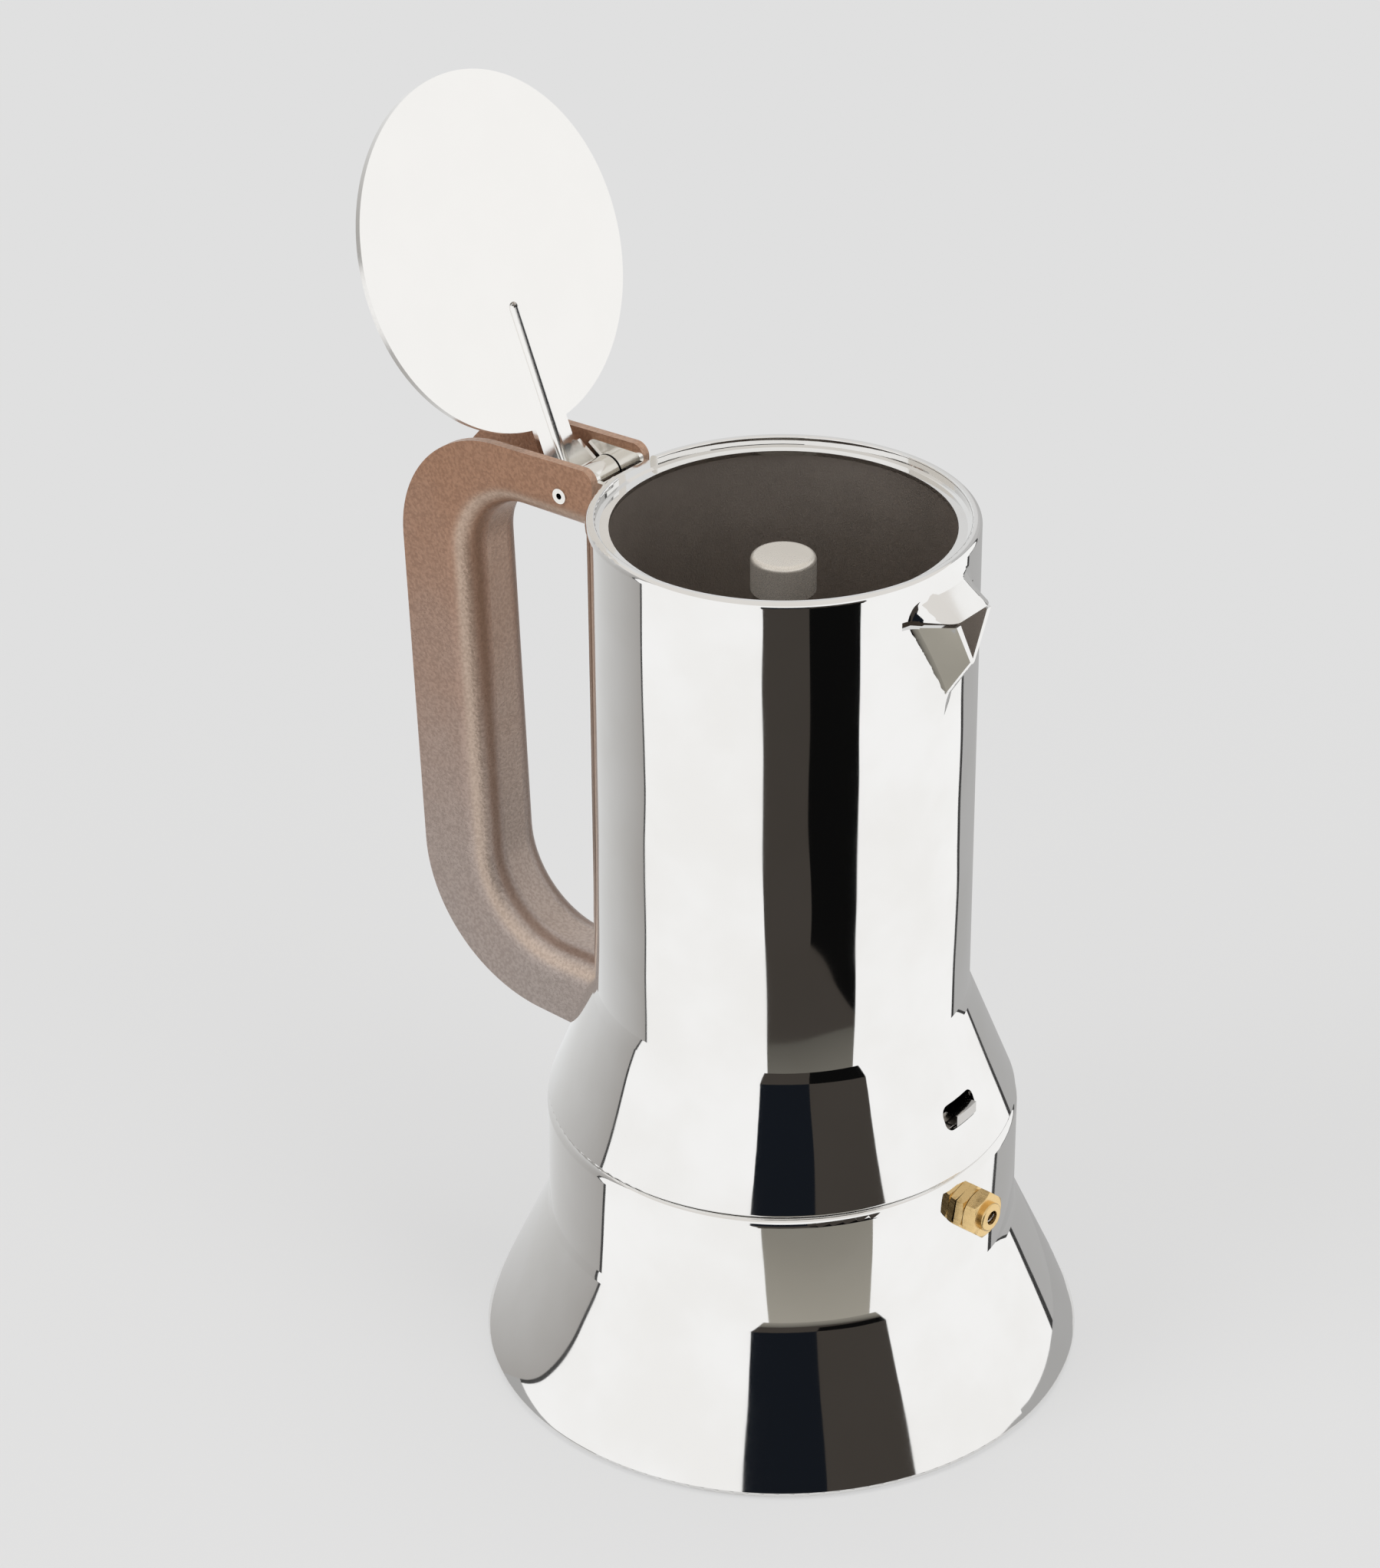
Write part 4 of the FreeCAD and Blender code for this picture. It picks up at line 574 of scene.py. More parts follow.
@dataclass(frozen=True)
class PebblePaint:
    """Bronze brown paint with metal flake over a fine pebble.

    It turns greyer towards the lower end: a painted reflection of the pale floor. The rounded
    edges that the fingers meet carry a painted highlight, the faces that look away from the
    sides carry a weaker one, and the bands beside the edges carry a painted dark reflection:
    all of them follow from how far a face turns to the handle's side.
    """

    name: str
    colour: Colour = (0.390, 0.212, 0.128)
    shade: Colour = (0.305, 0.160, 0.094)
    # Painted reflection of the pale floor: the paint greys towards its lower end.
    low: Colour = (0.460, 0.400, 0.372)
    low_shade: Colour = (0.372, 0.318, 0.292)
    # Painted highlight: pale tones laid on the rounded edges and, more weakly, on the faces that
    # look away from the sides.
    rubbed: Colour = (0.62, 0.49, 0.395)
    highlight_shade: Colour = (0.50, 0.385, 0.305)
    # Painted dark reflection for the bands beside the rounded edges.
    dark_reflection: Colour = (0.200, 0.108, 0.062)
    low_end: float = 0.045
    high_end: float = 0.215
    drift: float = 0.006
    metal: float = 0.4
    rough: float = 0.34
    fine_rough: float = 0.05
    cloud_rough: float = 0.03
    pebbles: float = 1400.0
    pebble: float = 0.00012
    fine: float = 3600.0
    fine_depth: float = 0.000012
    clouds: float = 55.0
    # Where the painted highlight lies on the rounded edges, by how far a face turns to the side.
    highlight_rise: Range = (0.52, 0.86)
    highlight_fall: Range = (0.88, 0.9995)
    highlight_most: float = 0.7
    # Where the weaker painted highlight lies: the faces that look away from the sides.
    lit_face_fall: Range = (0.02, 0.16)
    lit_face_most: float = 0.22
    # Where the painted dark reflection lies, by how far a face turns to the side.
    dark_reflection_rise: Range = (0.10, 0.35)
    dark_reflection_fall: Range = (0.45, 0.66)
    dark_reflection_most: float = 0.6

    def material(self) -> bpy.types.Material:
        """Make the material.

        Returns:
            The finished material.
        """
        g = Graph(self.name)
        bumps = g.noise(g.position, self.pebbles, detail=1.0, rough=0.45)
        fine = g.noise(g.position, self.fine, detail=1.0)
        cloud = g.noise(g.position, self.clouds, detail=3.0)
        grain = g.spread(bumps, *CLOUDY, 0.0, 1.0)
        # Painted reflection of the pale floor: the tone greys from high_end down to low_end.
        level = g.combine(Sum.ADD, g.part(g.position, Axis.Z),
                          g.spread(cloud, *CLOUDY, -self.drift, self.drift))
        tone = g.tint(g.spread(level, self.low_end, self.high_end, 0.0, 1.0),
                      g.tint(grain, self.low_shade, self.low),
                      g.tint(grain, self.shade, self.colour))
        side = g.combine(Sum.SIZE, g.part(g.facing, Axis.Y), 0.0)
        # Painted highlight on the rounded edges between the flat sides and the finger side.
        edge = g.combine(Sum.MULTIPLY, g.spread(side, *self.highlight_rise, 0.0, self.highlight_most),
                         g.spread(side, *self.highlight_fall, 1.0, 0.0))
        # The faces that look away from the sides, the finger side among them, get a weaker painted
        # highlight.
        highlight_mask = g.combine(Sum.LARGER, edge, g.spread(side, *self.lit_face_fall, self.lit_face_most, 0.0))
        # Painted dark reflection in the bands beside the painted highlight.
        dark_reflection_mask = g.combine(Sum.MULTIPLY, g.spread(side, *self.dark_reflection_rise, 0.0, self.dark_reflection_most),
                           g.spread(side, *self.dark_reflection_fall, 1.0, 0.0))
        # The paint's tone with the painted highlight laid over it.
        polished = g.tint(highlight_mask, tone, g.tint(grain, self.highlight_shade, self.rubbed))
        uneven = g.spread(fine, *CLOUDY, self.rough - self.fine_rough,
                          self.rough + self.fine_rough)
        smeared = g.spread(cloud, *CLOUDY, -self.cloud_rough, self.cloud_rough)
        return g.surface({
            "Base Color": g.tint(dark_reflection_mask, polished, self.dark_reflection),
            "Metallic": self.metal,
            "Roughness": g.combine(Sum.ADD, uneven, smeared),
            "Normal": g.relief(fine, self.fine_depth, g.relief(bumps, self.pebble)),
        })


Finish = Union[MirrorSteel, BrushedSteel, TurnedMetal, Rubber, PebblePaint]


@dataclass(frozen=True)
class Finishes:
    """Every finish of the pot, most of them named as the record's slots are."""

    mirror: MirrorSteel = MirrorSteel("polished_steel")
    lid: BrushedSteel = BrushedSteel(
        "satin_lid", colour=(0.90, 0.89, 0.87), rough=0.15, stretch=(1.0, 18.0, 1.0),
        depth=0.000002, clouds=0.15)
    satin: BrushedSteel = BrushedSteel(
        "satin_steel", colour=(0.82, 0.80, 0.77), rough=0.22, stretch=(6.0, 1.0, 6.0))
    cap: BrushedSteel = BrushedSteel(
        "satin_cap", colour=(0.68, 0.64, 0.58), rough=0.30, stretch=(6.0, 1.0, 6.0), metal=0.7)
    bright: BrushedSteel = BrushedSteel(
        "bright_steel", colour=(0.85, 0.835, 0.80), rough=0.12, stretch=(1.0, 7.0, 1.0),
        depth=0.000003, clouds=0.4)
    plain: BrushedSteel = BrushedSteel(
        "plain_steel", colour=(0.55, 0.52, 0.49), rough=0.36, stretch=(1.0, 1.0, 7.0))
    base: TurnedMetal = TurnedMetal(
        "turned_base", colour=(0.62, 0.60, 0.57), tarnish=(0.40, 0.37, 0.34), rough=0.32,
        around=Axis.Z, pitch=0.0009, depth=0.00002, spots=60.0)
    wire: BrushedSteel = BrushedSteel(
        "spring_steel", colour=(0.60, 0.59, 0.58), rough=0.22, stretch=(1.0, 1.0, 12.0))
    dark: BrushedSteel = BrushedSteel(
        "dark_steel", colour=(0.60, 0.585, 0.565), rough=0.10, stretch=(1.0, 1.0, 8.0),
        clouds=0.6)
    brass: TurnedMetal = TurnedMetal(
        "brass", colour=(0.80, 0.58, 0.28), tarnish=(0.42, 0.27, 0.10), rough=0.2,
        around=Axis.X, centre=(0.0525, -0.00234, 0.0536), turn=2.56)
    rubber: Rubber = Rubber("silicone", colour=(0.78, 0.75, 0.69))
    paint: PebblePaint = PebblePaint("handle_paint")


def disc(radius: float, segments: int) -> bmesh.types.BMesh:
    """A filled circle in the XY plane.

    Args:
        radius: its radius.
        segments: its number of corners.

    Returns:
        The shape.
    """
    shape = bmesh.new()
    bmesh.ops.create_circle(shape, cap_ends=True, cap_tris=False, segments=segments,
                            radius=radius)
    return shape


def wind(shape: bmesh.types.BMesh, section: Sequence[object], angle: float, steps: int,
         climb: float = 0.0) -> None:
    """Spin a section round the Z axis, without joining the last one to the first.

    Args:
        shape: the shape that holds the section.
        section: the section's faces, or its points and edges.
        angle: the whole turn in radians.
        steps: the number of copies along it.
        climb: the rise at each step.
    """
    bmesh.ops.spin(shape, geom=section, cent=ORIGIN, axis=UP, dvec=(0.0, 0.0, climb),
                   angle=angle, steps=steps, use_merge=False, use_normal_flip=False,
                   use_duplicate=False)


class Workshop:
    """Makes materials once, dresses solids and takes in new pieces."""

    MERGE_WITHIN = 1e-7
    SHARP_FROM = math.radians(35.0)

    def __init__(self, nodes: Dict[str, bpy.types.Object]) -> None:
        """Keep the solids at hand.

        Args:
            nodes: the solids by name.
        """
        self.nodes = nodes
        self.made: Dict[str, bpy.types.Material] = {}

    def coat(self, finish: Finish) -> bpy.types.Material:
        """The material of a finish, made on first use.

        Args:
            finish: one of the finishes.

        Returns:
            The material.
        """
        if finish.name not in self.made:
            self.made[finish.name] = finish.material()
        return self.made[finish.name]

    def dress(self, node: str, finish: Finish) -> None:
        """Give one solid its finish.

        Args:
            node: the solid's name.
            finish: one of the finishes.
        """
        mesh = self.nodes[node].data
        mesh.materials.clear()
        mesh.materials.append(self.coat(finish))
        log.info("dressed %s in %s", node, finish.name)

    def take(self, name: str, shape: bmesh.types.BMesh, finish: Finish, body: str, slot: str,
             stands_for: Sequence[str] = ()) -> bpy.types.Object:
        """Turn a shape into a piece that rides on a body.

        Args:
            name: the piece's name.
            shape: the modelled shape, used up here.
            finish: one of the finishes.
            body: the body that carries it.
            slot: the record's slot; not used.
            stands_for: solids that it replaces.

        Returns:
            The new object.
        """
        bmesh.ops.remove_doubles(shape, verts=shape.verts, dist=self.MERGE_WITHIN)
        bmesh.ops.recalc_face_normals(shape, faces=shape.faces)
        mesh = bpy.data.meshes.new(name)
        shape.to_mesh(mesh)
        shape.free()
        mesh.shade_smooth()
        mesh.set_sharp_from_angle(angle=self.SHARP_FROM)
        mesh.materials.append(self.coat(finish))
        piece = bpy.data.objects.new(name, mesh)
        bpy.context.scene.collection.objects.link(piece)
        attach(piece, body)
        if stands_for:
            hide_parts(*stands_for)
        log.info("made %s with %d faces", name, len(mesh.polygons))
        return piece


@dataclass
class Boiler:
    """The flared lower pot with its neck and heavy base."""

    shop: Workshop
    finishes: Finishes

    def dress(self) -> None:
        """Coat the boiler's solids."""
        self.shop.dress("boiler_shell", self.finishes.mirror)
        self.shop.dress("boiler_neck", self.finishes.plain)
        self.shop.dress("boiler_base", self.finishes.base)


@dataclass
class SafetyValve:
    """The brass valve in the boiler's wall."""

    shop: Workshop
    finishes: Finishes
    height: float = 0.0536
    bearing: float = -2.56
    stem_radius: float = 0.0036
    thread_start: float = 0.0446
    thread_end: float = 0.0468
    thread_pitch: float = 0.00075
    thread_depth: float = 0.00028
    thread_root: float = 0.0001
    thread_foot: float = 0.42
    thread_crest: float = 0.2
    thread_steps: int = 28
    spring_wire: float = 0.00055
    spring_radius: float = 0.00155
    spring_turns: int = 5
    spring_steps: int = 36
    spring_corners: int = 14
    spring_travel: float = 0.001

    def dress(self) -> None:
        """Coat the valve's solids."""
        for node in ("valve_body", "valve_cap", "valve_nut", "valve_plunger"):
            self.shop.dress(node, self.finishes.brass)
        self.shop.dress("valve_washer", self.finishes.rubber)
        self.shop.dress("valve_spring", self.finishes.wire)

    def axis(self) -> Vector:
        """The valve's own axis, outwards."""
        return Matrix.Rotation(math.radians(self.bearing), 3, "Z") @ Vector((1.0, 0.0, 0.0))

    def build_spring(self) -> bpy.types.Object:
        """Wind the spring.

        Returns:
            The spring.
        """
        low, high = (Vector(corner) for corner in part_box("valve_spring"))
        along = self.axis()
        lean = -along.y * self.spring_radius
        start = (low.x + 0.5 * self.spring_wire - lean) / along.x
        end = (high.x - 0.5 * self.spring_wire - lean) / along.x
        shape = disc(0.5 * self.spring_wire, self.spring_corners)
        stand = (Matrix.Translation((self.spring_radius, 0.0, 0.0))
                 @ Matrix.Rotation(QUARTER_TURN, 4, "X"))
        bmesh.ops.transform(shape, matrix=stand, verts=shape.verts)
        steps = self.spring_steps * self.spring_turns
        wind(shape, list(shape.faces), FULL_TURN * self.spring_turns, steps,
             (end - start) / steps)
        lay = (Matrix.Translation((0.0, 0.0, self.height))
               @ Matrix.Rotation(math.radians(self.bearing), 4, "Z")
               @ Matrix.Translation((start, 0.0, 0.0))
               @ Matrix.Rotation(QUARTER_TURN, 4, "Y") @ Matrix.Rotation(QUARTER_TURN, 4, "Z"))
        bmesh.ops.transform(shape, matrix=lay, verts=shape.verts)
        piece = self.shop.take("valve_spring_coil", shape, self.finishes.wire, "boiler",
                               "spring_steel", ("valve_spring",))
        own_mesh(piece)
        return piece

    def build_thread(self) -> bpy.types.Object:
        """Wind the thread on the free end of the stem, inside the boiler.

        Returns:
            The thread.
        """
        shape = bmesh.new()
        half = self.thread_foot * self.thread_pitch
        flat = self.thread_crest * half
        root = self.stem_radius - self.thread_root
        crest = self.stem_radius + self.thread_depth
        section = shape.faces.new([
            shape.verts.new((out, 0.0, up))
            for out, up in ((root, -half), (crest, -flat), (crest, flat), (root, half))])
        length = self.thread_end - self.thread_start
        turns = length / self.thread_pitch
        steps = int(self.thread_steps * turns)
        wind(shape, [section], FULL_TURN * turns, steps, length / steps)
        lay = (Matrix.Rotation(math.radians(self.bearing), 4, "Z")
               @ Matrix.Translation((self.thread_start, 0.0, 0.0))
               @ Matrix.Rotation(QUARTER_TURN, 4, "Y"))
        bmesh.ops.transform(shape, matrix=lay, verts=shape.verts)
        low, high = (Vector(corner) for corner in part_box("valve_nut"))
        middle = 0.5 * (low + high)
        middle.z = 0.0
        along = self.axis()
        aside = middle - along * along.dot(middle)
        bmesh.ops.translate(shape, vec=Vector((0.0, 0.0, self.height)) + aside, verts=shape.verts)
        return self.shop.take("valve_stem_thread", shape, self.finishes.brass, "boiler", "brass")


@dataclass
class BrewingFunnel:
    """The coffee cup with its tube and screen."""

    shop: Workshop
    finishes: Finishes

    def dress(self) -> None:
        """Coat the funnel's solids."""
        self.shop.dress("funnel", self.finishes.plain)
        self.shop.dress("funnel_screen", self.finishes.satin)


@dataclass
class Collector:
    """The tall upper pot with its spout, column, gasket and filter."""

    shop: Workshop
    finishes: Finishes

    def dress(self) -> None:
        """Coat the collector's solids."""
        self.shop.dress("collector_shell", self.finishes.mirror)
        self.shop.dress("collector_floor", self.finishes.plain)
        self.shop.dress("coffee_column", self.finishes.satin)
        self.shop.dress("column_cap", self.finishes.cap)
        self.shop.dress("gasket", self.finishes.rubber)
        self.shop.dress("filter_plate", self.finishes.satin)


@dataclass
class Latch:
    """The sprung ring, its clips and the tongue that lets it go."""

    shop: Workshop
    finishes: Finishes
    ring_wire: float = 0.0016
    ring_corners: int = 20
    ring_steps: int = 124
    ring_open: float = 50.0
    ring_give: float = 0.0008

    def dress(self) -> None:
        """Coat the latch's solids."""
        self.shop.dress("lock_ring", self.finishes.wire)
        self.shop.dress("ring_clips", self.finishes.plain)
        self.shop.dress("latch_tongue", self.finishes.dark)
        self.shop.dress("latch_guide", self.finishes.plain)

    def build_ring(self) -> bpy.types.Object:
        """Bend the open ring.

        Returns:
            The ring.
        """
        low, high = (Vector(corner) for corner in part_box("lock_ring"))
        radius = high.y - 0.5 * self.ring_wire
        level = 0.5 * (low.z + high.z)
        shape = disc(0.5 * self.ring_wire, self.ring_corners)
        stand = (Matrix.Rotation(math.radians(180.0 + 0.5 * self.ring_open), 4, "Z")
                 @ Matrix.Translation((radius, 0.0, level))
                 @ Matrix.Rotation(QUARTER_TURN, 4, "X"))
        bmesh.ops.transform(shape, matrix=stand, verts=shape.verts)
        wind(shape, list(shape.faces), math.radians(360.0 - self.ring_open), self.ring_steps)
        piece = self.shop.take("lock_ring_wire", shape, self.finishes.wire, "collector",
                               "spring_steel", ("lock_ring",))
        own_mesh(piece)
        return piece


@dataclass
class Handle:
    """The bent channel handle with its bracket, rivet, lug and screw."""

    shop: Workshop
    finishes: Finishes

    def dress(self) -> None:
        """Coat the handle's solids."""
        self.shop.dress("handle", self.finishes.paint)
        self.shop.dress("hinge_bracket", self.finishes.bright)
        self.shop.dress("hinge_pin", self.finishes.bright)
        self.shop.dress("handle_lug", self.finishes.plain)
        self.shop.dress("handle_screw", self.finishes.plain)


@dataclass
class Lid:
    """The flat lid with its arm and barrel."""

    shop: Workshop
    finishes: Finishes

    def dress(self) -> None:
        """Coat the lid's solids."""
        self.shop.dress("lid", self.finishes.lid)
        self.shop.dress("lid_barrel", self.finishes.bright)


@dataclass(frozen=True)
class CardEdge:
    """A card's straight edge in plan, along a bearing at an offset from the pot's axis."""

    bearing: float
    offset: float = 0.0

    def at(self, radius: float) -> float:
        """The bearing from the axis to the edge's point at a radius, in degrees."""
        return self.bearing + math.degrees(math.asin(self.offset / radius))


@dataclass(frozen=True)
class Card:
    """One studio card: a sector of the floor that goes up into a sheet of two tones.

    The floor has two tones that fade into each other outwards, and two outer bands. A last tone
    makes the whole card fade from its start to its end instead.
    """

    name: str
    start: CardEdge
    end: CardEdge
    floor: Tuple[Colour, Colour, Colour, Colour]
    standing: Tuple[Colour, Colour]
    reach: Tuple[float, float] = (0.24, 0.24)
    last: Optional[Colour] = None


@dataclass(frozen=True)
class Lamp:
    """One soft round lamp."""

    name: str
    at: Point
    size: float
    power: float


def grey(tone: float, warm: float = 0.985) -> Colour:
    """A slightly warm grey.

    Args:
        tone: its brightness.
        warm: blue as a share of red.

    Returns:
        The colour.
    """
    return (tone, tone * warm ** 0.5, tone * warm)


WHITE = grey(1.0, 0.995)
PAPER = (WHITE, WHITE, WHITE, WHITE)
UMBER = (0.054, 0.047, 0.041)
COOL = (0.84, 0.85, 0.855)
FLOOR_NEAR = (0.450, 0.425, 0.367)
FLOOR_FAR = (0.098, 0.0925, 0.080)
LEFT_END = CardEdge(-141.5, 0.022)
LEFT_GAP = CardEdge(-66.7, 0.016)
MID_GAP = CardEdge(-38.0)
RIGHT_GAP = CardEdge(-5.5, -0.026)
RIGHT_END = CardEdge(83.5, -0.062)
LINE_END = CardEdge(86.5, -0.062)
BEHIND = CardEdge(112.0)
FAR_LEFT = CardEdge(150.0)
LEFT_LINE = CardEdge(217.2, 0.022)
LEFT_AGAIN = CardEdge(218.5, 0.022)


@dataclass
class Studio:
    """Floor, cards, lamps, air and camera."""

    SAME_RADIUS = 1e-5
    LOWER_SHEET = 4
    UPPER_SHEET = 5

    pale: Colour = (0.745, 0.745, 0.745)
    matt: Colour = (0.66, 0.66, 0.66)
    shadow: float = 0.3
    shadow_range: Range = (0.12, 0.45)
    floor_radius: float = 6.0
    corners: int = 96
    inner: float = 0.0695
    # The ring of each card's floor next to the pot, out to this radius, carries a painted contact
    # shadow of this grey; only reflections see it.
    contact_shadow: float = 0.086
    contact_shadow_tone: float = 0.42
    near_ring: float = 0.14
    band: float = 0.195
    far_rings: Range = (0.3, 0.45)
    outer: float = 1.0
    dark_top: float = 0.45
    top: float = 1.0
    card_lift: float = 0.0005
    card_step: float = 3.0
    cards: Tuple[Card, ...] = (
        Card("card_left", LEFT_END, LEFT_GAP, PAPER, (WHITE, WHITE)),
        Card("gap_left", LEFT_GAP, MID_GAP, (FLOOR_NEAR, FLOOR_FAR, UMBER, UMBER),
             ((0.008, 0.010, 0.014), WHITE)),
        Card("gap_right", MID_GAP, RIGHT_GAP, (FLOOR_NEAR, FLOOR_FAR, UMBER, grey(0.004)),
             (UMBER, WHITE), (0.25, 0.205)),
        Card("card_right", RIGHT_GAP, RIGHT_END, PAPER, (WHITE, WHITE)),
        Card("edge_line", RIGHT_END, LINE_END, (grey(0.05),) * 4, (grey(0.08), grey(0.3))),
        Card("back_right", LINE_END, BEHIND, (grey(0.45),) * 4, (grey(0.50), grey(0.55))),
        Card("back_middle", BEHIND, FAR_LEFT, (grey(0.48),) * 4, (grey(0.62), grey(0.68)),
             last=COOL),
        Card("back_left", FAR_LEFT, LEFT_LINE, (COOL,) * 4, (COOL, COOL), last=grey(0.40, 0.93)),
        Card("left_line", LEFT_LINE, LEFT_AGAIN, (grey(0.06),) * 4, (grey(0.06), grey(0.3))),
    )
    ceiling: Colour = (0.80, 0.775, 0.745)
    lamps: Tuple[Lamp, ...] = (
        Lamp("lamp_left", at=(-0.55, -1.05, 1.15), size=0.9, power=9.0),
        Lamp("lamp_right", at=(1.2, -0.1, 0.95), size=0.8, power=6.0),
        Lamp("lamp_top", at=(-0.1, 0.15, 1.5), size=1.0, power=8.0),
    )
    lamp_aim: Point = (0.0, 0.0, 0.11)
    fill: Colour = (1.0, 0.985, 0.965)
    fill_strength: float = 0.5
    camera_at: Point = (0.46739, -0.62075, 0.57549)
    camera_right: Point = (0.79547, 0.60599, 0.0)
    camera_up: Point = (-0.29620, 0.38882, 0.87240)
    camera_back: Point = (0.52867, -0.69397, 0.48879)
    lens: float = 95.34
    sensor: float = 36.0
    shift: float = -0.0462
    clip: Range = (0.01, 50.0)

    def glow(self, name: str, colour: Colour, last: Optional[Colour] = None,
             along: Along = Along.CARD) -> bpy.types.Material:
        """A card's glow, even or fading along the card.

        Args:
            name: the material's name.
            colour: its colour, white at 1.
            last: the colour at the far end, where it fades.
            along: the way that it fades.

        Returns:
            The material.
        """
        g = Graph(name)
        light = g.add("ShaderNodeEmission")
        light.inputs["Color"].default_value = opaque(colour)
        if last is not None:
            way = g.add("ShaderNodeAttribute", attribute_name=along.value)
            g.feed(light.inputs["Color"], g.tint(way.outputs["Fac"], colour, last))
        g.tree.links.new(light.outputs[0], g.output.inputs["Surface"])
        return g.material

    def place(self, name: str, shape: bmesh.types.BMesh, coats: Sequence[bpy.types.Material],
              seen: Seen) -> bpy.types.Object:
        """Put a studio object in the scene.

        Args:
            name: its name.
            shape: its shape, used up here.
            coats: its materials in order.
            seen: which rays meet it.

        Returns:
            The new object.
        """
        mesh = bpy.data.meshes.new(name)
        shape.to_mesh(mesh)
        shape.free()
        for coat in coats:
            mesh.materials.append(coat)
        thing = bpy.data.objects.new(name, mesh)
        bpy.context.scene.collection.objects.link(thing)
        if seen is Seen.BY_GLOSS:
            thing.visible_camera = False
            thing.visible_diffuse = False
            thing.visible_transmission = False
            thing.visible_shadow = False
            thing.visible_volume_scatter = False
        return thing

    def lay_floor(self) -> None:
        """Lay the pale floor, which keeps a soft shadow near the pot."""
        g = Graph("pale_floor")
        span = g.add("ShaderNodeVectorMath", operation="LENGTH")
        g.feed(span.inputs[0], g.position)
        near = g.spread(span.outputs["Value"], *self.shadow_range, self.shadow, 0.0)
        shaders = []
        for kind, colour in (("ShaderNodeEmission", self.pale),
                             ("ShaderNodeBsdfDiffuse", self.matt),
                             ("ShaderNodeBsdfDiffuse", self.pale)):
            shader = g.add(kind)
            shader.inputs["Color"].default_value = opaque(colour)
            shaders.append(shader.outputs[0])
        glow, matt, plain = shaders
        rays = g.add("ShaderNodeLightPath")
        direct = g.combine(Sum.LARGER, rays.outputs["Is Camera Ray"],
                           rays.outputs["Is Glossy Ray"])
        clear = g.combine(Sum.LARGER, direct, rays.outputs["Is Transmission Ray"])
        floor = g.blended(clear, plain, g.blended(near, glow, matt))
        g.tree.links.new(floor, g.output.inputs["Surface"])
        shape = disc(self.floor_radius, self.corners)
        self.place("floor", shape, [g.material], Seen.BY_CAMERA)

    def card_shape(self, card: Card) -> bmesh.types.BMesh:
        """Spin a card's outline through its sector, then pull its ends onto their straight edges.

        Args:
            card: the card.

        Returns:
            The shape, with a material index for each band and each tone of the sheet.
        """
        shape = bmesh.new()
        layers = shape.verts.layers.float
        for way in Along:
            layers.new(way.value)
        across, outward = (layers[way.value] for way in Along)
        middle = 0.5 * (card.reach[0] + card.reach[1])
        radii = (self.inner, self.contact_shadow, self.near_ring, self.band, middle, *self.far_rings,
                 self.outer)
        outline = [(radius, 0.0, self.card_lift) for radius in radii]
        outline += [(self.outer, 0.0, height) for height in (self.dark_top, self.top)]
        points = [shape.verts.new(point) for point in outline]
        edges = [shape.edges.new(pair) for pair in zip(points, points[1:])]
        width = card.end.bearing - card.start.bearing
        wind(shape, points + edges, math.radians(width), max(2, int(width / self.card_step)))
        bands = (self.contact_shadow, self.band, middle)
        for face in shape.faces:
            centre = face.calc_center_median()
            if centre.z > self.dark_top:
                face.material_index = self.UPPER_SHEET
            elif centre.z > 2.0 * self.card_lift:
                face.material_index = self.LOWER_SHEET
            else:
                face.material_index = sum(centre.xy.length > limit for limit in bands)
        for vert in shape.verts:
            radius = math.hypot(vert.co.x, vert.co.y)
            turn = math.degrees(math.atan2(vert.co.y, vert.co.x)) % 360.0
            # Rounding may leave the first column just short of a full turn.
            share = 0.0 if turn > 1.5 * width else turn / width
            if abs(radius - middle) < self.SAME_RADIUS:
                radius = card.reach[0] + share * (card.reach[1] - card.reach[0])
            bearing = (1.0 - share) * card.start.at(radius) + share * card.end.at(radius)
            turned = Matrix.Rotation(math.radians(bearing), 3, "Z")
            vert.co = turned @ Vector((radius, 0.0, vert.co.z))
            vert[across] = share
            vert[outward] = min(1.0, (radius - self.inner) / (self.band - self.inner))
        return shape

    def stand_cards(self) -> None:
        """Stand the cards round the pot and a ceiling over it: only reflections see them."""
        for card in self.cards:
            first, near, *outer = card.floor
            if card.last is None:
                # The ring nearest the pot carries a painted contact shadow.
                coats = [self.glow(f"{card.name}_contact", grey(self.contact_shadow_tone)),
                         self.glow(f"{card.name}_near", first, near, Along.FLOOR)]
            else:
                coats = [self.glow(f"{card.name}_near", first, card.last)] * 2
            coats += [self.glow(f"{card.name}_{index}", tone, card.last)
                      for index, tone in enumerate((*outer, *card.standing))]
            self.place(card.name, self.card_shape(card), coats, Seen.BY_GLOSS)
        sheet = disc(self.outer, self.corners)
        bmesh.ops.translate(sheet, vec=(0.0, 0.0, self.top), verts=sheet.verts)
        self.place("ceiling", sheet, [self.glow("ceiling_grey", self.ceiling)], Seen.BY_GLOSS)

    def hang_lamps(self) -> None:
        """Hang three soft lamps that light the paint and the floor."""
        for lamp in self.lamps:
            data = bpy.data.lights.new(lamp.name, "AREA")
            data.shape = "DISK"
            data.size = lamp.size
            data.energy = lamp.power
            thing = bpy.data.objects.new(lamp.name, data)
            thing.location = lamp.at
            aim = Vector(self.lamp_aim) - Vector(lamp.at)
            thing.rotation_euler = aim.to_track_quat("-Z", "Y").to_euler()
            thing.visible_glossy = False
            thing.visible_camera = False
            bpy.context.scene.collection.objects.link(thing)

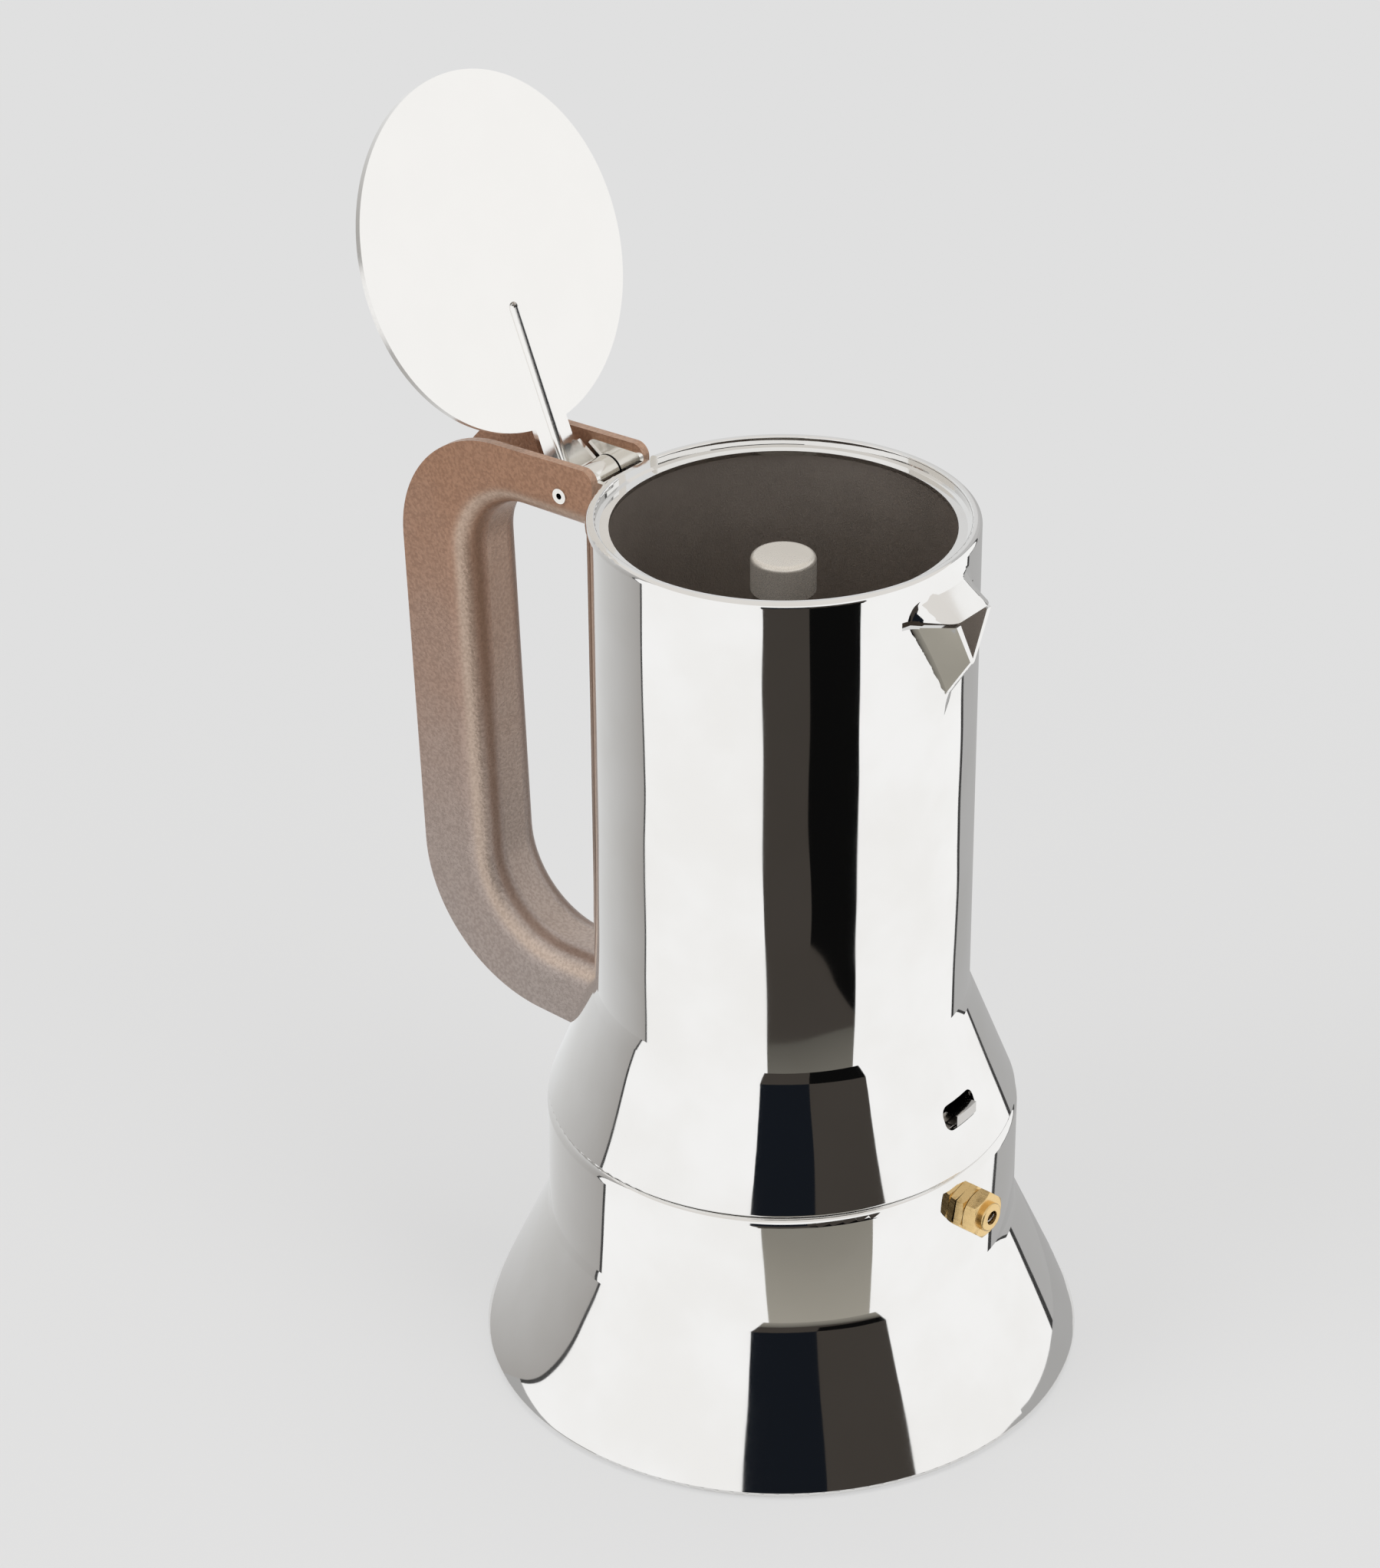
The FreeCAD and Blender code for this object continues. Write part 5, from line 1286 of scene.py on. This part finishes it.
    def fill_air(self) -> None:
        """Make the air pale where it is seen and softer where it lights."""
        world = bpy.data.worlds.new("air")
        bpy.context.scene.world = world
        world.use_nodes = True
        tree = world.node_tree
        tree.nodes.clear()
        out = tree.nodes.new("ShaderNodeOutputWorld")
        seen = tree.nodes.new("ShaderNodeBackground")
        seen.inputs["Color"].default_value = opaque(self.pale)
        fill = tree.nodes.new("ShaderNodeBackground")
        fill.inputs["Color"].default_value = opaque(self.fill)
        fill.inputs["Strength"].default_value = self.fill_strength
        rays = tree.nodes.new("ShaderNodeLightPath")
        share = rays.outputs["Is Camera Ray"]
        for other in ("Is Glossy Ray", "Is Transmission Ray"):
            larger = tree.nodes.new("ShaderNodeMath")
            larger.operation = Sum.LARGER.value
            tree.links.new(share, larger.inputs[0])
            tree.links.new(rays.outputs[other], larger.inputs[1])
            share = larger.outputs[0]
        mix = tree.nodes.new("ShaderNodeMixShader")
        tree.links.new(share, mix.inputs[0])
        tree.links.new(fill.outputs[0], mix.inputs[1])
        tree.links.new(seen.outputs[0], mix.inputs[2])
        tree.links.new(mix.outputs[0], out.inputs["Surface"])

    def set_camera(self) -> None:
        """Set the camera at the photograph's place and angle."""
        data = bpy.data.cameras.new("camera")
        data.lens = self.lens
        data.sensor_width = self.sensor
        data.sensor_fit = "AUTO"
        data.shift_x = self.shift
        data.clip_start, data.clip_end = self.clip
        camera = bpy.data.objects.new("camera", data)
        turn = Matrix((self.camera_right, self.camera_up, self.camera_back)).transposed()
        camera.matrix_world = Matrix.Translation(self.camera_at) @ turn.to_4x4()
        bpy.context.scene.collection.objects.link(camera)
        bpy.context.scene.camera = camera

    def build(self) -> None:
        """Set the whole studio."""
        bpy.context.scene.view_settings.view_transform = "Standard"
        self.set_camera()
        self.lay_floor()
        self.stand_cards()
        self.hang_lamps()
        self.fill_air()


def main() -> None:
    """Build the studio, dress the solids and make the small pieces."""
    logging.basicConfig(level=logging.INFO, format="%(message)s")
    Studio().build()
    shop = Workshop(frame["nodes"])
    finishes = Finishes()
    valve = SafetyValve(shop, finishes)
    latch = Latch(shop, finishes)
    for group in (Boiler(shop, finishes), valve, BrewingFunnel(shop, finishes),
                  Collector(shop, finishes), latch, Handle(shop, finishes),
                  Lid(shop, finishes)):
        group.dress()
    valve.build_thread()
    valve.build_spring()
    latch.build_ring()


if __name__ == "__main__":
    main()
